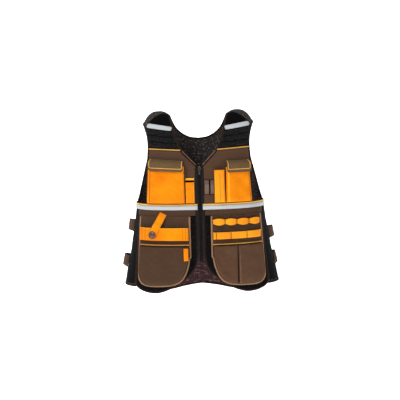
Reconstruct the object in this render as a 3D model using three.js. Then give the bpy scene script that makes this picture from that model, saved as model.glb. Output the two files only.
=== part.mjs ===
// Utility work vest held in its worn shape, in millimetres.
// X runs to the wearer's left, Y to the wearer's back and Z up.
// The origin lies midway between the shoulder crests, where the wearer's shoulders carry the vest.
// "Drop" is a distance below the shoulder crest, and "lift" a distance out from the form.
import * as THREE from "three";

// Form of the vest
const vestLength = 598; // shoulder crest to the lobes of the front hem
const hemHalfWidth = 264; // centre to the side at the hem
const frontDepth = 128; // origin to the front at the hem
const backDepth = 112; // origin to the back at the hem
const squareness = 2.6; // 2 is an ellipse, more is a squarer section
const archSquareness = 2.2;
const archDrop = 150; // where the shoulders start to arch over

// Openings of the vest
const underarmDrop = 303;
const neckDrop = 181; // bottom of the V at the front
const backNeckDrop = 96;
const strapInner = 94; // neck side of the shoulder at the crest
const strapOuter = 184; // arm side of the shoulder at the crest
const crestPeak = 126; // highest place of the crest
const crestInnerDrop = 14;
const crestOuterDrop = 42;
const seamRunInner = 14; // how far in front of the crest the shoulder seam lies
const seamRunOuter = 34;

// Cloth
const clothThick = 2;
const meshThick = 2.4;
const pocketThick = 1.4;
const webThick = 1.8;
const tapeThick = 1;
const layerGap = 0.8; // between cloth layers that lie on each other
const seamGap = 0.6; // between cloth edges that meet
const bindingWidth = 6.5;
const bindingProud = 1.1; // how far a binding stands out of its cloth
const pipingWidth = 4;
const pipingThick = 2.6;

// Front closing
const zipHalfWidth = 8;
const zipTeethHalfWidth = 2.6;
const zipBottomDrop = 492;
const sliderSize = { across: 9, down: 13, thick: 3.4 };
const pullSize = { across: 6, down: 24, thick: 1.6 };

// Bands across the chest and waist
const waistBandHeight = 19;
const waistEdging = 4.5;
const waistTapeHeight = 14;
const reflectorDrop = 53; // middle of the shoulder reflector
const reflectorHeight = 15.5;
const chestPipingDrop = 122;
const chestPipingFall = 6; // how much lower it is at the centre
const shoulderRibs = 3;
const ribHeight = 4;

// Chest pockets, whose sides are measured from the centre
const rightPocket = { inner: 50, outer: 170, depth: 15 };
const rightFlap = { inner: 52, outer: 158, drop: 153, fall: 9, height: 33 };
const leftPocket = { inner: 84, outer: 168, depth: 15 };
const leftFlap = { inner: 87, outer: 160, drop: 163, fall: 1, height: 33 };
const flapOverlap = 11; // how far a flap hangs past its pocket's mouth
const flapSeam = 8; // stretch in which a flap leaves the chest
const flapBinding = 4;
const penSleeve = { inner: 18, outer: 45, drop: 232, depth: 9.5 };
const penTab = { drop: 222, height: 5.5 };
const toolSleeve = { inner: 48, outer: 80, drop: 194, depth: 17 };
const webLoops = [
  { name: "inner_web_loop", inner: 16, outer: 30.5 },
  { name: "outer_web_loop", inner: 33.5, outer: 44.5 },
];
const webLoopDrop = 227;
const webLoopHeight = 45;
const webLoopStand = 7;
const webLoopFoot = 7;

// Pouches on the skirt
const pouchInner = 33;
const pouchOuter = 211;
const pouchTopOuter = 198;
const pouchBelowWaist = 38; // waist band's top to the pouch's top
const pouchAboveHem = 23; // pouch's bottom to the hem lobes
const pouchBinding = 5.5;
const cargoDrop = 437; // mouth of the cargo pockets
const cargoDepth = 14;
const bandPocket = { drop: 380, height: 42, depth: 11 };
const penPockets = { drop: 397, height: 23, depth: 10 };
const penPocketWalls = [40, 50, 97, 148, 194];
const loopTape = { drop: 352, height: 21, waist: 14, depth: 9 };
const loopTapeEnds = [40, 79, 117, 156, 191];
const centreFold = 4; // depth of the crease down the left cargo pocket
const label = { inner: 45, outer: 58, drop: 446, height: 42 };

// Hammer strap
const strapTop = { x: 120, drop: 333 };
const strapSnap = { x: 153, drop: 403 };
const strapWidth = 23;
const strapTail = 15;
const snapRadius = 13;
const snapThick = 4.5;

// Side straps
const sideStrapWidth = 38;
const sideStraps = [
  { name: "right_upper_side_strap", side: -1, drop: 384, droop: 12, bulge: 24 },
  { name: "right_lower_side_strap", side: -1, drop: 506, droop: 12, bulge: 23 },
  { name: "left_upper_side_strap", side: 1, drop: 418, droop: 12, bulge: 22 },
  { name: "left_lower_side_strap", side: 1, drop: 506, droop: 10, bulge: 12 },
];
const sideStrapFront = 84; // degrees round from the front centre
const sideStrapBack = 122;

// Sections of the form. down is a share of the vest's length, width of the hem's half width,
// front and back of the two depths.
const formSections = [
  { down: 0.0, width: 0.803, front: 0.83, back: 0.93 },
  { down: 0.25, width: 0.803, front: 0.845, back: 0.93 },
  { down: 0.507, width: 0.811, front: 0.906, back: 0.946 },
  { down: 0.594, width: 0.833, front: 0.922, back: 0.955 },
  { down: 0.686, width: 0.867, front: 0.94, back: 0.965 },
  { down: 0.786, width: 0.909, front: 0.96, back: 0.975 },
  { down: 0.87, width: 0.951, front: 0.98, back: 0.985 },
  { down: 0.975, width: 0.996, front: 1.0, back: 1.0 },
  { down: 1.08, width: 1.015, front: 1.01, back: 1.0 },
];

// Edge of the arm opening. down is a share of the underarm drop, out of the crest's outer edge.
const armEdgeFront = [
  { down: 0.139, out: 1.0 },
  { down: 0.185, out: 0.966 },
  { down: 0.274, out: 0.922 },
  { down: 0.38, out: 0.908 },
  { down: 0.52, out: 0.924 },
  { down: 0.68, out: 0.944 },
  { down: 0.85, out: 0.956 },
  { down: 1.0, out: 0.97 },
];
const armEdgeBack = [
  { down: 0.139, out: 1.0 },
  { down: 0.2, out: 0.965 },
  { down: 0.31, out: 0.93 },
  { down: 0.43, out: 0.935 },
  { down: 0.56, out: 0.985 },
  { down: 0.7, out: 1.04 },
  { down: 0.85, out: 1.095 },
  { down: 0.95, out: 1.128 },
  { down: 1.0, out: 1.15 },
];

// Edge of the V neck, down as a share of the neck drop, out of the crest's inner edge
const neckEdgeFront = [
  { down: 0.0775, out: 1.0 },
  { down: 0.2, out: 0.91 },
  { down: 0.34, out: 0.855 },
  { down: 0.52, out: 0.745 },
  { down: 0.69, out: 0.605 },
  { down: 0.86, out: 0.31 },
  { down: 0.97, out: 0.11 },
  { down: 1.0, out: 0.085 },
];
// Edge of the back neck from the crest to the centre, out as above, down of the back neck drop
const neckEdgeBack = [
  { along: 0.0, out: 1.0, down: 0.146 },
  { along: 0.22, out: 0.93, down: 0.35 },
  { along: 0.42, out: 0.8, down: 0.61 },
  { along: 0.6, out: 0.61, down: 0.8 },
  { along: 0.8, out: 0.33, down: 0.95 },
  { along: 1.0, out: 0.0, down: 1.0 },
];

// Hem of the front from the zip to the side seam, across as a share of the hem's half width,
// down of the vest's length
const frontHem = [
  { along: 0.0, across: 0.042, down: 0.823 },
  { along: 0.1, across: 0.062, down: 0.85 },
  { along: 0.2, across: 0.11, down: 0.885 },
  { along: 0.32, across: 0.2, down: 0.92 },
  { along: 0.45, across: 0.36, down: 0.967 },
  { along: 0.6, across: 0.53, down: 0.996 },
  { along: 0.75, across: 0.67, down: 0.997 },
  { along: 0.88, across: 0.775, down: 0.983 },
  { along: 1.0, across: 0.84, down: 0.963 },
];
// Hem of the back, round from the side seam to the back centre, down of the vest's length
const backHem = [
  { round: 52, down: 0.968 },
  { round: 90, down: 0.975 },
  { round: 113, down: 0.983 },
  { round: 131, down: 1.015 },
  { round: 146, down: 1.05 },
  { round: 160, down: 1.066 },
  { round: 172, down: 1.048 },
  { round: 180, down: 1.034 },
];

// Bottom of a pouch from its inner to its outer edge, as shares of its width and height
const pouchBottom = [
  { along: 0.0, across: 0.02, down: 0.6 },
  { along: 0.1, across: 0.055, down: 0.73 },
  { along: 0.2, across: 0.125, down: 0.86 },
  { along: 0.3, across: 0.22, down: 0.94 },
  { along: 0.42, across: 0.37, down: 0.985 },
  { along: 0.58, across: 0.6, down: 1.0 },
  { along: 0.74, across: 0.82, down: 0.998 },
  { along: 0.86, across: 0.94, down: 0.965 },
  { along: 0.94, across: 0.99, down: 0.905 },
  { along: 1.0, across: 1.0, down: 0.82 },
];

const SIDES = [
  { name: "right", sign: -1 },
  { name: "left", sign: 1 },
];

const colours = {
  brown: { color: 0x57442f, roughness: 0.85 },
  flapBrown: { color: 0x6e5636, roughness: 0.85 },
  tan: { color: 0x8a6a4e, roughness: 0.8 },
  orange: { color: 0xf59a12, roughness: 0.75 },
  amber: { color: 0xdca048, roughness: 0.7 },
  black: { color: 0x1c1a19, roughness: 0.95 },
  darkBinding: { color: 0x2e2421, roughness: 0.9 },
  silver: { color: 0xd5dadd, roughness: 0.45 },
  webbing: { color: 0x4a2f22, roughness: 0.9 },
  loopWeb: { color: 0x755b4c, roughness: 0.9 },
  metal: { color: 0x6f6259, roughness: 0.35, metalness: 0.9 },
};

const radians = THREE.MathUtils.degToRad;
const degrees = THREE.MathUtils.radToDeg;
const mix = THREE.MathUtils.lerp;
const clamp = THREE.MathUtils.clamp;

// Value of a table's column on a smooth curve through its rows
function along(rows, at, column, place) {
  const last = rows.length - 1;
  let i = 0;
  while (i < last - 1 && place > rows[i + 1][at]) i++;
  const slope = (k) => {
    const before = rows[Math.max(k - 1, 0)];
    const after = rows[Math.min(k + 1, last)];
    return (after[column] - before[column]) / (after[at] - before[at]);
  };
  const span = rows[i + 1][at] - rows[i][at];
  const t = clamp((place - rows[i][at]) / span, 0, 1);
  const rise = t * t * (3 - 2 * t);
  const lean = slope(i) * (t - 2 * t * t + t ** 3) + slope(i + 1) * (t ** 3 - t * t);
  return mix(rows[i][column], rows[i + 1][column], rise) + lean * span;
}

const halfWidthAt = (drop) => hemHalfWidth * along(formSections, "down", "width", drop / vestLength);
const frontAt = (drop) => frontDepth * along(formSections, "down", "front", drop / vestLength);
const backAt = (drop) => backDepth * along(formSections, "down", "back", drop / vestLength);

// Drop of the shoulder crest at a distance from the centre
function crestDropAt(x) {
  const out = Math.abs(x) - crestPeak;
  if (out < 0) return crestInnerDrop * Math.min(-out / (crestPeak - strapInner), 1) ** 2;
  return Math.min(crestOuterDrop * (out / (strapOuter - crestPeak)) ** 3, archDrop * 0.9);
}

const signedPower = (value, power) => Math.sign(value) * Math.abs(value) ** power;

// Point of the form. Angle goes round from the front centre to the wearer's left, in degrees. Run is
// the drop up to the arch, then shrinks to 0 at the crest and goes below 0 on the other face.
function formPoint(angle, run) {
  if (run < 0) return formPoint(Math.sign(angle) * 180 - angle, -run);
  const drop = Math.max(run, archDrop);
  const sine = Math.sin(radians(angle));
  const cosine = Math.cos(radians(angle));
  const x = halfWidthAt(drop) * signedPower(sine, 2 / squareness);
  const depth = cosine > 0 ? frontAt(drop) : backAt(drop);
  const y = -depth * signedPower(cosine, 2 / squareness);
  if (run >= archDrop) return new THREE.Vector3(x, y, -run);
  const turn = (Math.PI / 2) * (1 - run / archDrop);
  const height = (archDrop - crestDropAt(x)) * Math.sin(turn) ** (2 / archSquareness);
  return new THREE.Vector3(x, y * Math.cos(turn) ** (2 / archSquareness), height - archDrop);
}

// Point of the form with its outward normal
function frameAt({ angle, run }) {
  const point = formPoint(angle, run);
  const round = formPoint(angle + 2, run).sub(formPoint(angle - 2, run));
  const up = formPoint(angle, run - 3).sub(formPoint(angle, run + 3));
  const normal = round.cross(up).normalize();
  const outward = new THREE.Vector3(point.x * 0.4, point.y, run < archDrop ? archDrop - run : 0);
  if (normal.dot(outward) < 0) normal.negate();
  return { point, normal };
}

// Place on the form's front or back, seen from the front
function placeAt(x, drop, face = "front") {
  const width = halfWidthAt(Math.max(drop, archDrop));
  const share = clamp(Math.abs(x) / width, 0, 0.9999);
  const turn = degrees(Math.asin(share ** (squareness / 2)));
  const angle = Math.sign(x || 1) * (face === "front" ? turn : 180 - turn);
  if (drop >= archDrop) return { angle, run: drop };
  const height = clamp((archDrop - drop) / (archDrop - crestDropAt(x)), 0, 1);
  const run = archDrop * (1 - degrees(Math.asin(height ** (archSquareness / 2))) / 90);
  return { angle, run };
}

// Cloth sheet: points on the form with an inner and an outer lift, joined in quads and closed at the rim
class Sheet {
  constructor() {
    this.points = [];
    this.places = new Map();
    this.quads = [];
  }

  add(low, high) {
    const key = [low.x, low.y, low.z].map((v) => Math.round(v * 500)).join();
    if (!this.places.has(key)) {
      this.places.set(key, this.points.length);
      this.points.push({ low, high });
    }
    return this.places.get(key);
  }

  // at(u, v) gives the low and high points; u runs round to the wearer's left and v upwards
  patch(columns, rows, at) {
    const grid = [];
    for (let j = 0; j <= rows; j++) {
      grid.push([]);
      for (let i = 0; i <= columns; i++) {
        const { low, high } = at(i / columns, j / rows);
        grid[j].push(this.add(low, high));
      }
    }
    for (let j = 0; j < rows; j++)
      for (let i = 0; i < columns; i++)
        this.quads.push([grid[j][i], grid[j][i + 1], grid[j + 1][i + 1], grid[j + 1][i]]);
    return this;
  }

  geometry() {
    const count = this.points.length;
    const triangles = [];
    const edges = new Map();
    const face = (corners) => {
      for (let k = 1; k < corners.length - 1; k++) triangles.push(corners[0], corners[k], corners[k + 1]);
    };
    for (const quad of this.quads) {
      const corners = quad.filter((p, k) => p !== quad[(k + 1) % quad.length]);
      if (corners.length < 3) continue;
      face(corners.map((p) => p + count));
      face([...corners].reverse());
      corners.forEach((a, k) => {
        const b = corners[(k + 1) % corners.length];
        if (edges.has(`${b},${a}`)) edges.delete(`${b},${a}`);
        else edges.set(`${a},${b}`, [a, b]);
      });
    }
    for (const [a, b] of edges.values()) face([a, b, b + count, a + count]);
    const positions = [...this.points.map((p) => p.low), ...this.points.map((p) => p.high)];
    const made = new THREE.BufferGeometry().setFromPoints(positions);
    made.setIndex(signedVolume(positions, triangles) < 0 ? [...triangles].reverse() : triangles);
    made.computeVertexNormals();
    return made;
  }
}

function signedVolume(positions, triangles) {
  let sum = 0;
  for (let k = 0; k < triangles.length; k += 3) {
    const [a, b, c] = [0, 1, 2].map((n) => positions[triangles[k + n]]);
    sum += a.dot(b.clone().cross(c));
  }
  return sum / 6;
}

// Low and high points over a place on the form
function lifted(place, low, high) {
  const { point, normal } = frameAt(place);
  return {
    low: point.clone().addScaledVector(normal, low),
    high: point.clone().addScaledVector(normal, high),
  };
}

const vest = new THREE.Group();

function addPiece(name, geometry, colour) {
  const mesh = new THREE.Mesh(geometry, new THREE.MeshStandardMaterial({ metalness: 0, ...colour }));
  mesh.name = name;
  vest.add(mesh);
  return mesh;
}

// Sheet on the front between two edges. lowEdge(u) and topEdge(u) give distance from the centre and
// drop; lifts are numbers or functions of u, v, distance and drop.
function frontSheet(sign, columns, rows, lowEdge, topEdge, low, high) {
  const lift = (value, ...at) => (typeof value === "function" ? value(...at) : value);
  return new Sheet()
    .patch(columns, rows, (u, v) => {
      const [xLow, dropLow] = lowEdge(u);
      const [xTop, dropTop] = topEdge(u);
      const x = mix(xLow, xTop, v);
      const drop = mix(dropLow, dropTop, v);
      return lifted(placeAt(sign * x, drop), lift(low, u, v, x, drop), lift(high, u, v, x, drop));
    })
    .geometry();
}

const line = (inner, outer, drop, innerDrop = drop) => (u) => [mix(inner, outer, u), mix(innerDrop, drop, u)];

// Strip along a path of frames. section holds rows with a place across the strip, an inner and an
// outer lift; across grows to the right of the path, seen from outside.
function strip(frames, section) {
  const last = frames.length - 1;
  return new Sheet()
    .patch(last, section.length - 1, (u, v) => {
      const i = Math.round(u * last);
      const row = section[Math.round(v * (section.length - 1))];
      const before = frames[Math.max(i - 1, 0)].point;
      const after = frames[Math.min(i + 1, last)].point;
      const { point, normal } = frames[i];
      const right = after.clone().sub(before).cross(normal).normalize();
      const foot = point.clone().addScaledVector(right, row.across * (frames[i].scale ?? 1));
      return {
        low: foot.clone().addScaledVector(normal, row.low),
        high: foot.clone().addScaledVector(normal, row.high),
      };
    })
    .geometry();
}

// Rounded binding that closes a cloth edge. inward is 1 where the cloth lies to the right of the path.
function bindingSection(inward, thick, width = bindingWidth) {
  const rows = [
    { across: 0, low: -thick * 0.75, high: -thick * 0.25 },
    { across: width * 0.3, low: -thick - bindingProud, high: bindingProud },
    { across: width, low: -thick - bindingProud * 0.8, high: bindingProud * 0.8 },
  ];
  return rows.map((row) => ({ ...row, across: row.across * inward }));
}

// Body panels
// Where a place on the shoulder's arch lies below the crest
function dropAt(x, run) {
  if (run >= archDrop) return run;
  const turn = (Math.PI / 2) * (1 - run / archDrop);
  return archDrop - (archDrop - crestDropAt(x)) * Math.sin(turn) ** (2 / archSquareness);
}

// Edges of the front and back, as a distance from the centre for each drop
const armEdge = (rows, drop) => strapOuter * along(rows, "down", "out", drop / underarmDrop);
const frontArm = (drop) => armEdge(armEdgeFront, drop);
const backArm = (drop) => armEdge(armEdgeBack, drop);
const neckEdge = (drop) => strapInner * along(neckEdgeFront, "down", "out", drop / neckDrop);
const seamAngleAt = (drop) => mix(67, 52, (drop - underarmDrop) / (vestLength - underarmDrop));
const edgeInset = bindingWidth + seamGap;

// How far to step sideways at one drop, to stay an inset clear of a sloping edge
function insetAt(edge, drop, inset = edgeInset) {
  const slope = (edge(drop + 2) - edge(drop - 2)) / 4;
  return inset * Math.min(Math.hypot(1, slope), 1.8);
}
const frontArmInside = (drop) => frontArm(drop) - insetAt(frontArm, drop);
const backArmInside = (drop) => backArm(drop) - insetAt(backArm, drop);
const neckInside = (drop) => neckEdge(drop) + insetAt(neckEdge, drop, edgeInset + 0.5);

// Place on an edge at a run along the shoulder's arch
function edgePlace(edge, run, face) {
  let x = edge(run);
  for (let i = 0; i < 8; i++) x = edge(dropAt(x, run));
  return { angle: placeAt(x, archDrop, face).angle, run };
}

// Place square off an edge. edge(at) is a place; side 1 lies to the right of its path
function squareOff(edge, at, step, inset, side) {
  const here = edge(at);
  const from = edge(at - step);
  const to = edge(at + step);
  const { angle, run } = here;
  const perDegree = formPoint(angle + 0.5, run).distanceTo(formPoint(angle - 0.5, run));
  const perRun = formPoint(angle, run + 1).distanceTo(formPoint(angle, Math.max(run - 1, 0)));
  const runScale = perRun / (run < 1 ? 1 + run : 2);
  const across = (to.angle - from.angle) * perDegree;
  const down = (to.run - from.run) * runScale;
  const span = Math.hypot(across, down);
  return {
    angle: angle - (side * inset * down) / span / perDegree,
    run: Math.max(run + (side * inset * across) / span / runScale, 0),
  };
}

const between = (from, to, share) => ({
  angle: mix(from.angle, to.angle, share),
  run: mix(from.run, to.run, share),
});
const mirrored = (sign, place) => ({ angle: sign * place.angle, run: place.run });

// Back neck edge from the crest to the centre
function backNeck(share) {
  const x = strapInner * along(neckEdgeBack, "along", "out", clamp(share, 0, 1));
  const down = along(neckEdgeBack, "along", "down", clamp(share, 0, 1));
  return placeAt(x, Math.max(backNeckDrop * down, crestInnerDrop), "back");
}

function backNeckInside(share) {
  if (share > 0.999) return { angle: 180, run: backNeck(1).run + edgeInset };
  if (share < 0.02) return { angle: placeAt(strapInner + edgeInset, archDrop, "back").angle, run: 0 };
  return squareOff(backNeck, share, 0.02, edgeInset, 1);
}

// Zip side of the front down to the hem, and the hem to the side seam
function hemEdge(share) {
  const x = hemHalfWidth * along(frontHem, "along", "across", share);
  return [x, vestLength * along(frontHem, "along", "down", share)];
}

const pipingDropAt = (x) => chestPipingDrop + chestPipingFall * clamp((160 - x) / 106, 0, 1);
const waistSeamDrop = underarmDrop + waistBandHeight / 2;

// Heights that the cloth and its bindings share, from the waist up to the chest piping
const chestDrops = [
  mix(underarmDrop, neckDrop, 0.27),
  mix(underarmDrop, neckDrop, 0.64),
  neckDrop,
  mix(neckDrop, chestPipingDrop, 0.39),
  mix(neckDrop, chestPipingDrop, 0.695),
];

// Row of places between two places, evenly round the form
const rowBetween = (from, to) => (u) => between(from, to, u);

// Row of places on the front between two distances from the centre, with a drop for each distance
const levelRow = (inner, outer, dropOf) => (u) => {
  const angle = mix(placeAt(inner, archDrop).angle, placeAt(outer, archDrop).angle, u);
  const { x } = formPoint(angle, archDrop);
  return placeAt(x, dropOf(x));
};

function chestRow(drop) {
  const inner = Math.max(drop < neckDrop - 1 ? neckInside(drop) : 0, zipHalfWidth + edgeInset);
  const from = placeAt(inner, drop);
  if (drop > underarmDrop + 0.7) return rowBetween(from, { angle: seamAngleAt(drop) - 0.3, run: drop });
  if (drop < archDrop) return levelRow(inner, frontArmInside(drop), () => drop);
  return rowBetween(from, placeAt(frontArmInside(drop), drop));
}

// Row across the chest along its piping, a distance below the piping's middle
function pipingRow(below) {
  const inner = neckInside(chestPipingDrop + chestPipingFall + below);
  return levelRow(inner, frontArmInside(chestPipingDrop), (x) => pipingDropAt(x) + below);
}

function chestPanel(sign) {
  const drops = [waistSeamDrop, underarmDrop + 1, underarmDrop + 0.5, ...chestDrops];
  return new Sheet()
    .patch(8, drops.length, (u, v) => {
      const step = Math.round(v * drops.length);
      if (step < drops.length) return lifted(mirrored(sign, chestRow(drops[step])(u)), -clothThick, 0);
      return lifted(mirrored(sign, pipingRow(pipingWidth / 2 + seamGap)(u)), -clothThick, 0);
    })
    .geometry();
}

function skirtPanel(sign) {
  const top = waistSeamDrop + seamGap;
  const topSide = { angle: seamAngleAt(top) - 0.3, run: top };
  const topRow = rowBetween(placeAt(zipHalfWidth + edgeInset, top), topSide);
  return new Sheet()
    .patch(11, 5, (u, v) => {
      const [hemX, hemDrop] = hemEdge(u);
      const [backX, backDrop] = hemEdge(Math.max(u - 0.02, 0));
      const [nextX, nextDrop] = hemEdge(Math.min(u + 0.02, 1));
      const run = Math.hypot(nextX - backX, nextDrop - backDrop);
      const insetX = hemX + (edgeInset * (nextDrop - backDrop)) / run;
      const insetDrop = hemDrop - (edgeInset * (nextX - backX)) / run;
      const low = placeAt(insetX, insetDrop);
      const slope = (nextDrop - backDrop) / (nextX - backX);
      const sideX = formPoint(seamAngleAt(insetDrop) - 0.3, insetDrop).x;
      const side = { angle: low.angle, run: insetDrop + slope * (sideX - insetX) };
      const place = between(u === 1 ? side : low, topRow(u), v);
      const zipSide = mix(insetX, zipHalfWidth + edgeInset, Math.min(v * 7, 1));
      if (u === 0) place.angle = placeAt(zipSide, place.run).angle;
      if (u === 1) place.angle = seamAngleAt(place.run) - 0.3;
      return lifted(mirrored(sign, place), -meshThick, 0);
    })
    .geometry();
}

// Shoulder seam in front of the crest
const shoulderSeam = (u) => ({
  angle: mix(
    placeAt(strapInner + edgeInset, archDrop).angle,
    placeAt(strapOuter - edgeInset, archDrop).angle,
    u,
  ),
  run: mix(seamRunInner, seamRunOuter, u),
});

const ribBottom = chestPipingDrop - pipingWidth / 2 - seamGap;
const ribTop = reflectorDrop + reflectorHeight / 2 + 2;
const ribDrops = [0, 0.378, 0.695, 1].map((share) => mix(ribBottom, ribTop, share));

function shoulderPad(sign) {
  const ribSteps = shoulderRibs * 3;
  const upperSteps = 4;
  const steps = ribSteps + upperSteps;
  return new Sheet()
    .patch(6, steps, (u, v) => {
      const step = Math.round(v * steps);
      const level = Math.min(step / ribSteps, 1);
      const drop = mix(ribBottom, ribTop, level);
      const fall = (x) => (pipingDropAt(x) - chestPipingDrop) * (1 - level);
      const inner = neckInside(drop + chestPipingFall * (1 - level));
      const row = levelRow(inner, frontArmInside(drop), (x) => drop + fall(x))(u);
      const climb = Math.max(step - ribSteps, 0) / upperSteps;
      const place = between(row, shoulderSeam(u), climb);
      const lift = step < ribSteps ? ribHeight * [0, 0.9, 1][step % 3] : 0;
      return lifted(mirrored(sign, place), -clothThick, lift);
    })
    .geometry();
}

// Back panel: side wing, back below the underarm, upper back, and yoke over the crest
const backHemDrop = (angle) => vestLength * along(backHem, "round", "down", angle);
function backHemInside(angle) {
  const low = formPoint(angle - 2, vestLength);
  const span = low.distanceTo(formPoint(angle + 2, vestLength));
  const slope = (backHemDrop(angle + 2) - backHemDrop(angle - 2)) / span;
  return backHemDrop(angle) - (edgeInset + 0.9) * Math.hypot(1, slope);
}

const underarmAngle = placeAt(backArm(underarmDrop) - 1, underarmDrop, "back").angle;
const yokeShare = 0.42; // along the neck edge, where the yoke starts
const yokeArmRun = 128;
const climbs = 6; // rows of the yoke up to the crest

function addBackHalf(sheet, sign) {
  const put = (columns, rows, at) =>
    sheet.patch(columns, rows, (u, v) => {
      const place = at(sign > 0 ? 1 - u : u, v);
      return lifted(mirrored(sign, place), -meshThick, 0);
    });
  const top = underarmDrop + seamGap;
  const lowerRows = [0, 0.25, 0.5, 0.72, 0.92, 1];
  put(5, 5, (u, v) => {
    const lowSeam = seamAngleAt(backHemDrop(backHem[0].round)) + 0.3;
    const angle = mix(underarmAngle, lowSeam, u);
    const place = { angle, run: mix(backHemInside(angle), top, lowerRows[Math.round(v * 5)]) };
    if (u === 1) place.angle = seamAngleAt(place.run) + 0.3;
    else place.angle += (seamAngleAt(place.run) + 0.3 - lowSeam) * u;
    return place;
  });
  put(8, 5, (u, v) => {
    const angle = mix(180, underarmAngle, u);
    return { angle, run: mix(backHemInside(angle), top, lowerRows[Math.round(v * 5)]) };
  });
  const armPlace = (run) => edgePlace(backArmInside, run, "back");
  const split = 4 / 8;
  const upperTop = (u) => {
    if (u <= split) return backNeckInside(mix(1, yokeShare, u / split));
    return between(backNeckInside(yokeShare), armPlace(yokeArmRun), (u - split) / (1 - split));
  };
  const upperRows = [0, 0.01, 0.2, 0.4, 0.6, 0.8, 1];
  put(8, 6, (u, v) => {
    const up = upperRows[Math.round(v * 6)];
    const low = { angle: mix(180, underarmAngle, u), run: top };
    const place = between(low, upperTop(u), up);
    const ruled = mix(underarmAngle, upperTop(1).angle, up);
    const arm = up === 0 ? underarmAngle : armPlace(place.run).angle;
    if (up > 0 && up < 1) place.angle += (arm - ruled) * u ** 3;
    return place;
  });
  put(4, climbs + 2, (w, v) => {
    const step = Math.round(v * (climbs + 2));
    if (step <= climbs) {
      const climb = step / climbs;
      const inner = backNeckInside(yokeShare * (1 - climb));
      return between(inner, armPlace(yokeArmRun * (1 - climb)), w);
    }
    const crest = between(backNeckInside(0), armPlace(0), w);
    const seam = shoulderSeam(w);
    const share = (step - climbs) / 2;
    return { angle: mix(crest.angle, 180 - seam.angle, share), run: (seamGap - seam.run) * share };
  });
}

function backPanel() {
  const sheet = new Sheet();
  SIDES.forEach(({ sign }) => addBackHalf(sheet, sign));
  return sheet.geometry();
}

// Path of an edge as frames, with an optional lift off the form
const frameAlong = (sign, place, lift = 0) => {
  const { point, normal } = frameAt(mirrored(sign, place));
  return { point: point.addScaledVector(normal, lift), normal };
};
const steps = (count) => Array.from({ length: count + 1 }, (_, i) => i / count);
const pathOf = (sign, places, lift = 0) => {
  const frames = places.map((place) => frameAlong(sign, place, lift));
  return sign > 0 ? frames : frames.reverse();
};

// Bindings that close the cloth's edges
function armBinding(sign) {
  const bottom = underarmDrop - 4;
  const front = [bottom, ...chestDrops, chestPipingDrop, ...ribDrops];
  const arch = archRuns(placeAt(frontArm(ribTop), ribTop).run, seamRunOuter);
  const places = front.map((drop) => placeAt(frontArm(drop), drop));
  places.push(...arch.map((run) => edgePlace(frontArm, run, "front")));
  for (let k = climbs; k >= 0; k--) places.push(edgePlace(backArm, yokeArmRun * (1 - k / climbs), "back"));
  const rows = [0.8, 0.6, 0.4, 0.2].map((up) => mix(underarmDrop, yokeArmRun, up));
  places.push(...[...rows, bottom].map((drop) => edgePlace(backArm, drop, "back")));
  return strip(pathOf(sign, places), bindingSection(-1, clothThick));
}

// Runs from the ribs over the shoulder seam, up to the crest
function archRuns(from, seam) {
  return [...[0.25, 0.5, 0.75].map((climb) => mix(from, seam, climb)), seam, seam / 2];
}

function neckBinding() {
  const half = (sign) => {
    const [, , low, middle, high] = chestDrops;
    const pipingEnd = chestPipingDrop + chestPipingFall;
    const tip = [mix(low, middle, 0.22), mix(low, middle, 0.65)];
    const front = [low, ...tip, middle, high, pipingEnd, ...ribDrops];
    const places = front.map((drop) => placeAt(neckEdge(drop), drop));
    const runs = archRuns(placeAt(neckEdge(ribTop), ribTop).run, seamRunInner);
    places.push(...runs.map((run) => edgePlace(neckEdge, run, "front")));
    for (let k = climbs; k > 0; k--) places.push(backNeck(yokeShare * (1 - k / climbs)));
    for (let k = 0; k < 4; k++) places.push(backNeck(mix(yokeShare, 1, k / 4)));
    return places.map((place) => frameAlong(sign, place));
  };
  const frames = [...half(-1), frameAlong(1, backNeck(1)), ...half(1).reverse()];
  return strip(frames, bindingSection(-1, clothThick));
}

const zipTop = neckDrop + sliderSize.down;
const zipDrops = [0, 0.19, 0.456, 0.725, 1].map((share) => mix(zipTop, zipBottomDrop, share));
function frontBinding(sign) {
  const drops = [neckDrop + bindingWidth, ...zipDrops.slice(1, -1), mix(zipTop, zipBottomDrop, 0.926)];
  const places = drops.map((drop) => placeAt(zipHalfWidth, drop));
  for (const share of steps(11)) places.push(placeAt(...hemEdge(share * 0.99)));
  const section = bindingSection(-sign, clothThick).map((row) => ({ ...row, high: Math.min(row.high, 0) }));
  return strip(
    places.map((place) => frameAlong(sign, place)),
    section,
  );
}

function backHemBinding() {
  const half = (sign) => {
    const first = seamAngleAt(backHemDrop(backHem[0].round)) + 0.4;
    return steps(14).map((share) => {
      const angle = mix(first, 180, share);
      return frameAlong(sign, { angle, run: backHemDrop(angle) });
    });
  };
  return strip([...half(-1), ...half(1).reverse().slice(1)], bindingSection(1, meshThick));
}

// Bands that lie on the cloth
function chestPiping(sign) {
  const frames = steps(8).map((share) => frameAlong(sign, pipingRow(0)(share)));
  return strip(frames, roundSection(pipingWidth - 2 * seamGap, pipingThick, -clothThick / 2));
}

// Rounded section centred on its path, lying on a level
function roundSection(width, thick, level) {
  return [-0.5, 0, 0.5].map((share) => ({
    across: width * share,
    low: level + (share ? thick * 0.25 : 0),
    high: level + (share ? thick * 0.6 : thick),
  }));
}

const flatSection = (width, level, thick) =>
  [-0.5, 0.5].map((share) => ({ across: width * share, low: level, high: level + thick }));

function waistStrip(sign, middle, width) {
  const first = placeAt(zipHalfWidth + seamGap, middle).angle;
  const count = 22;
  const angles = steps(count).map((share) => mix(first, 179.7, share));
  return strip(
    angles.map((angle) => frameAlong(sign, { angle, run: middle })),
    flatSection(width, layerGap + 0.4, tapeThick),
  );
}

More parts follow.
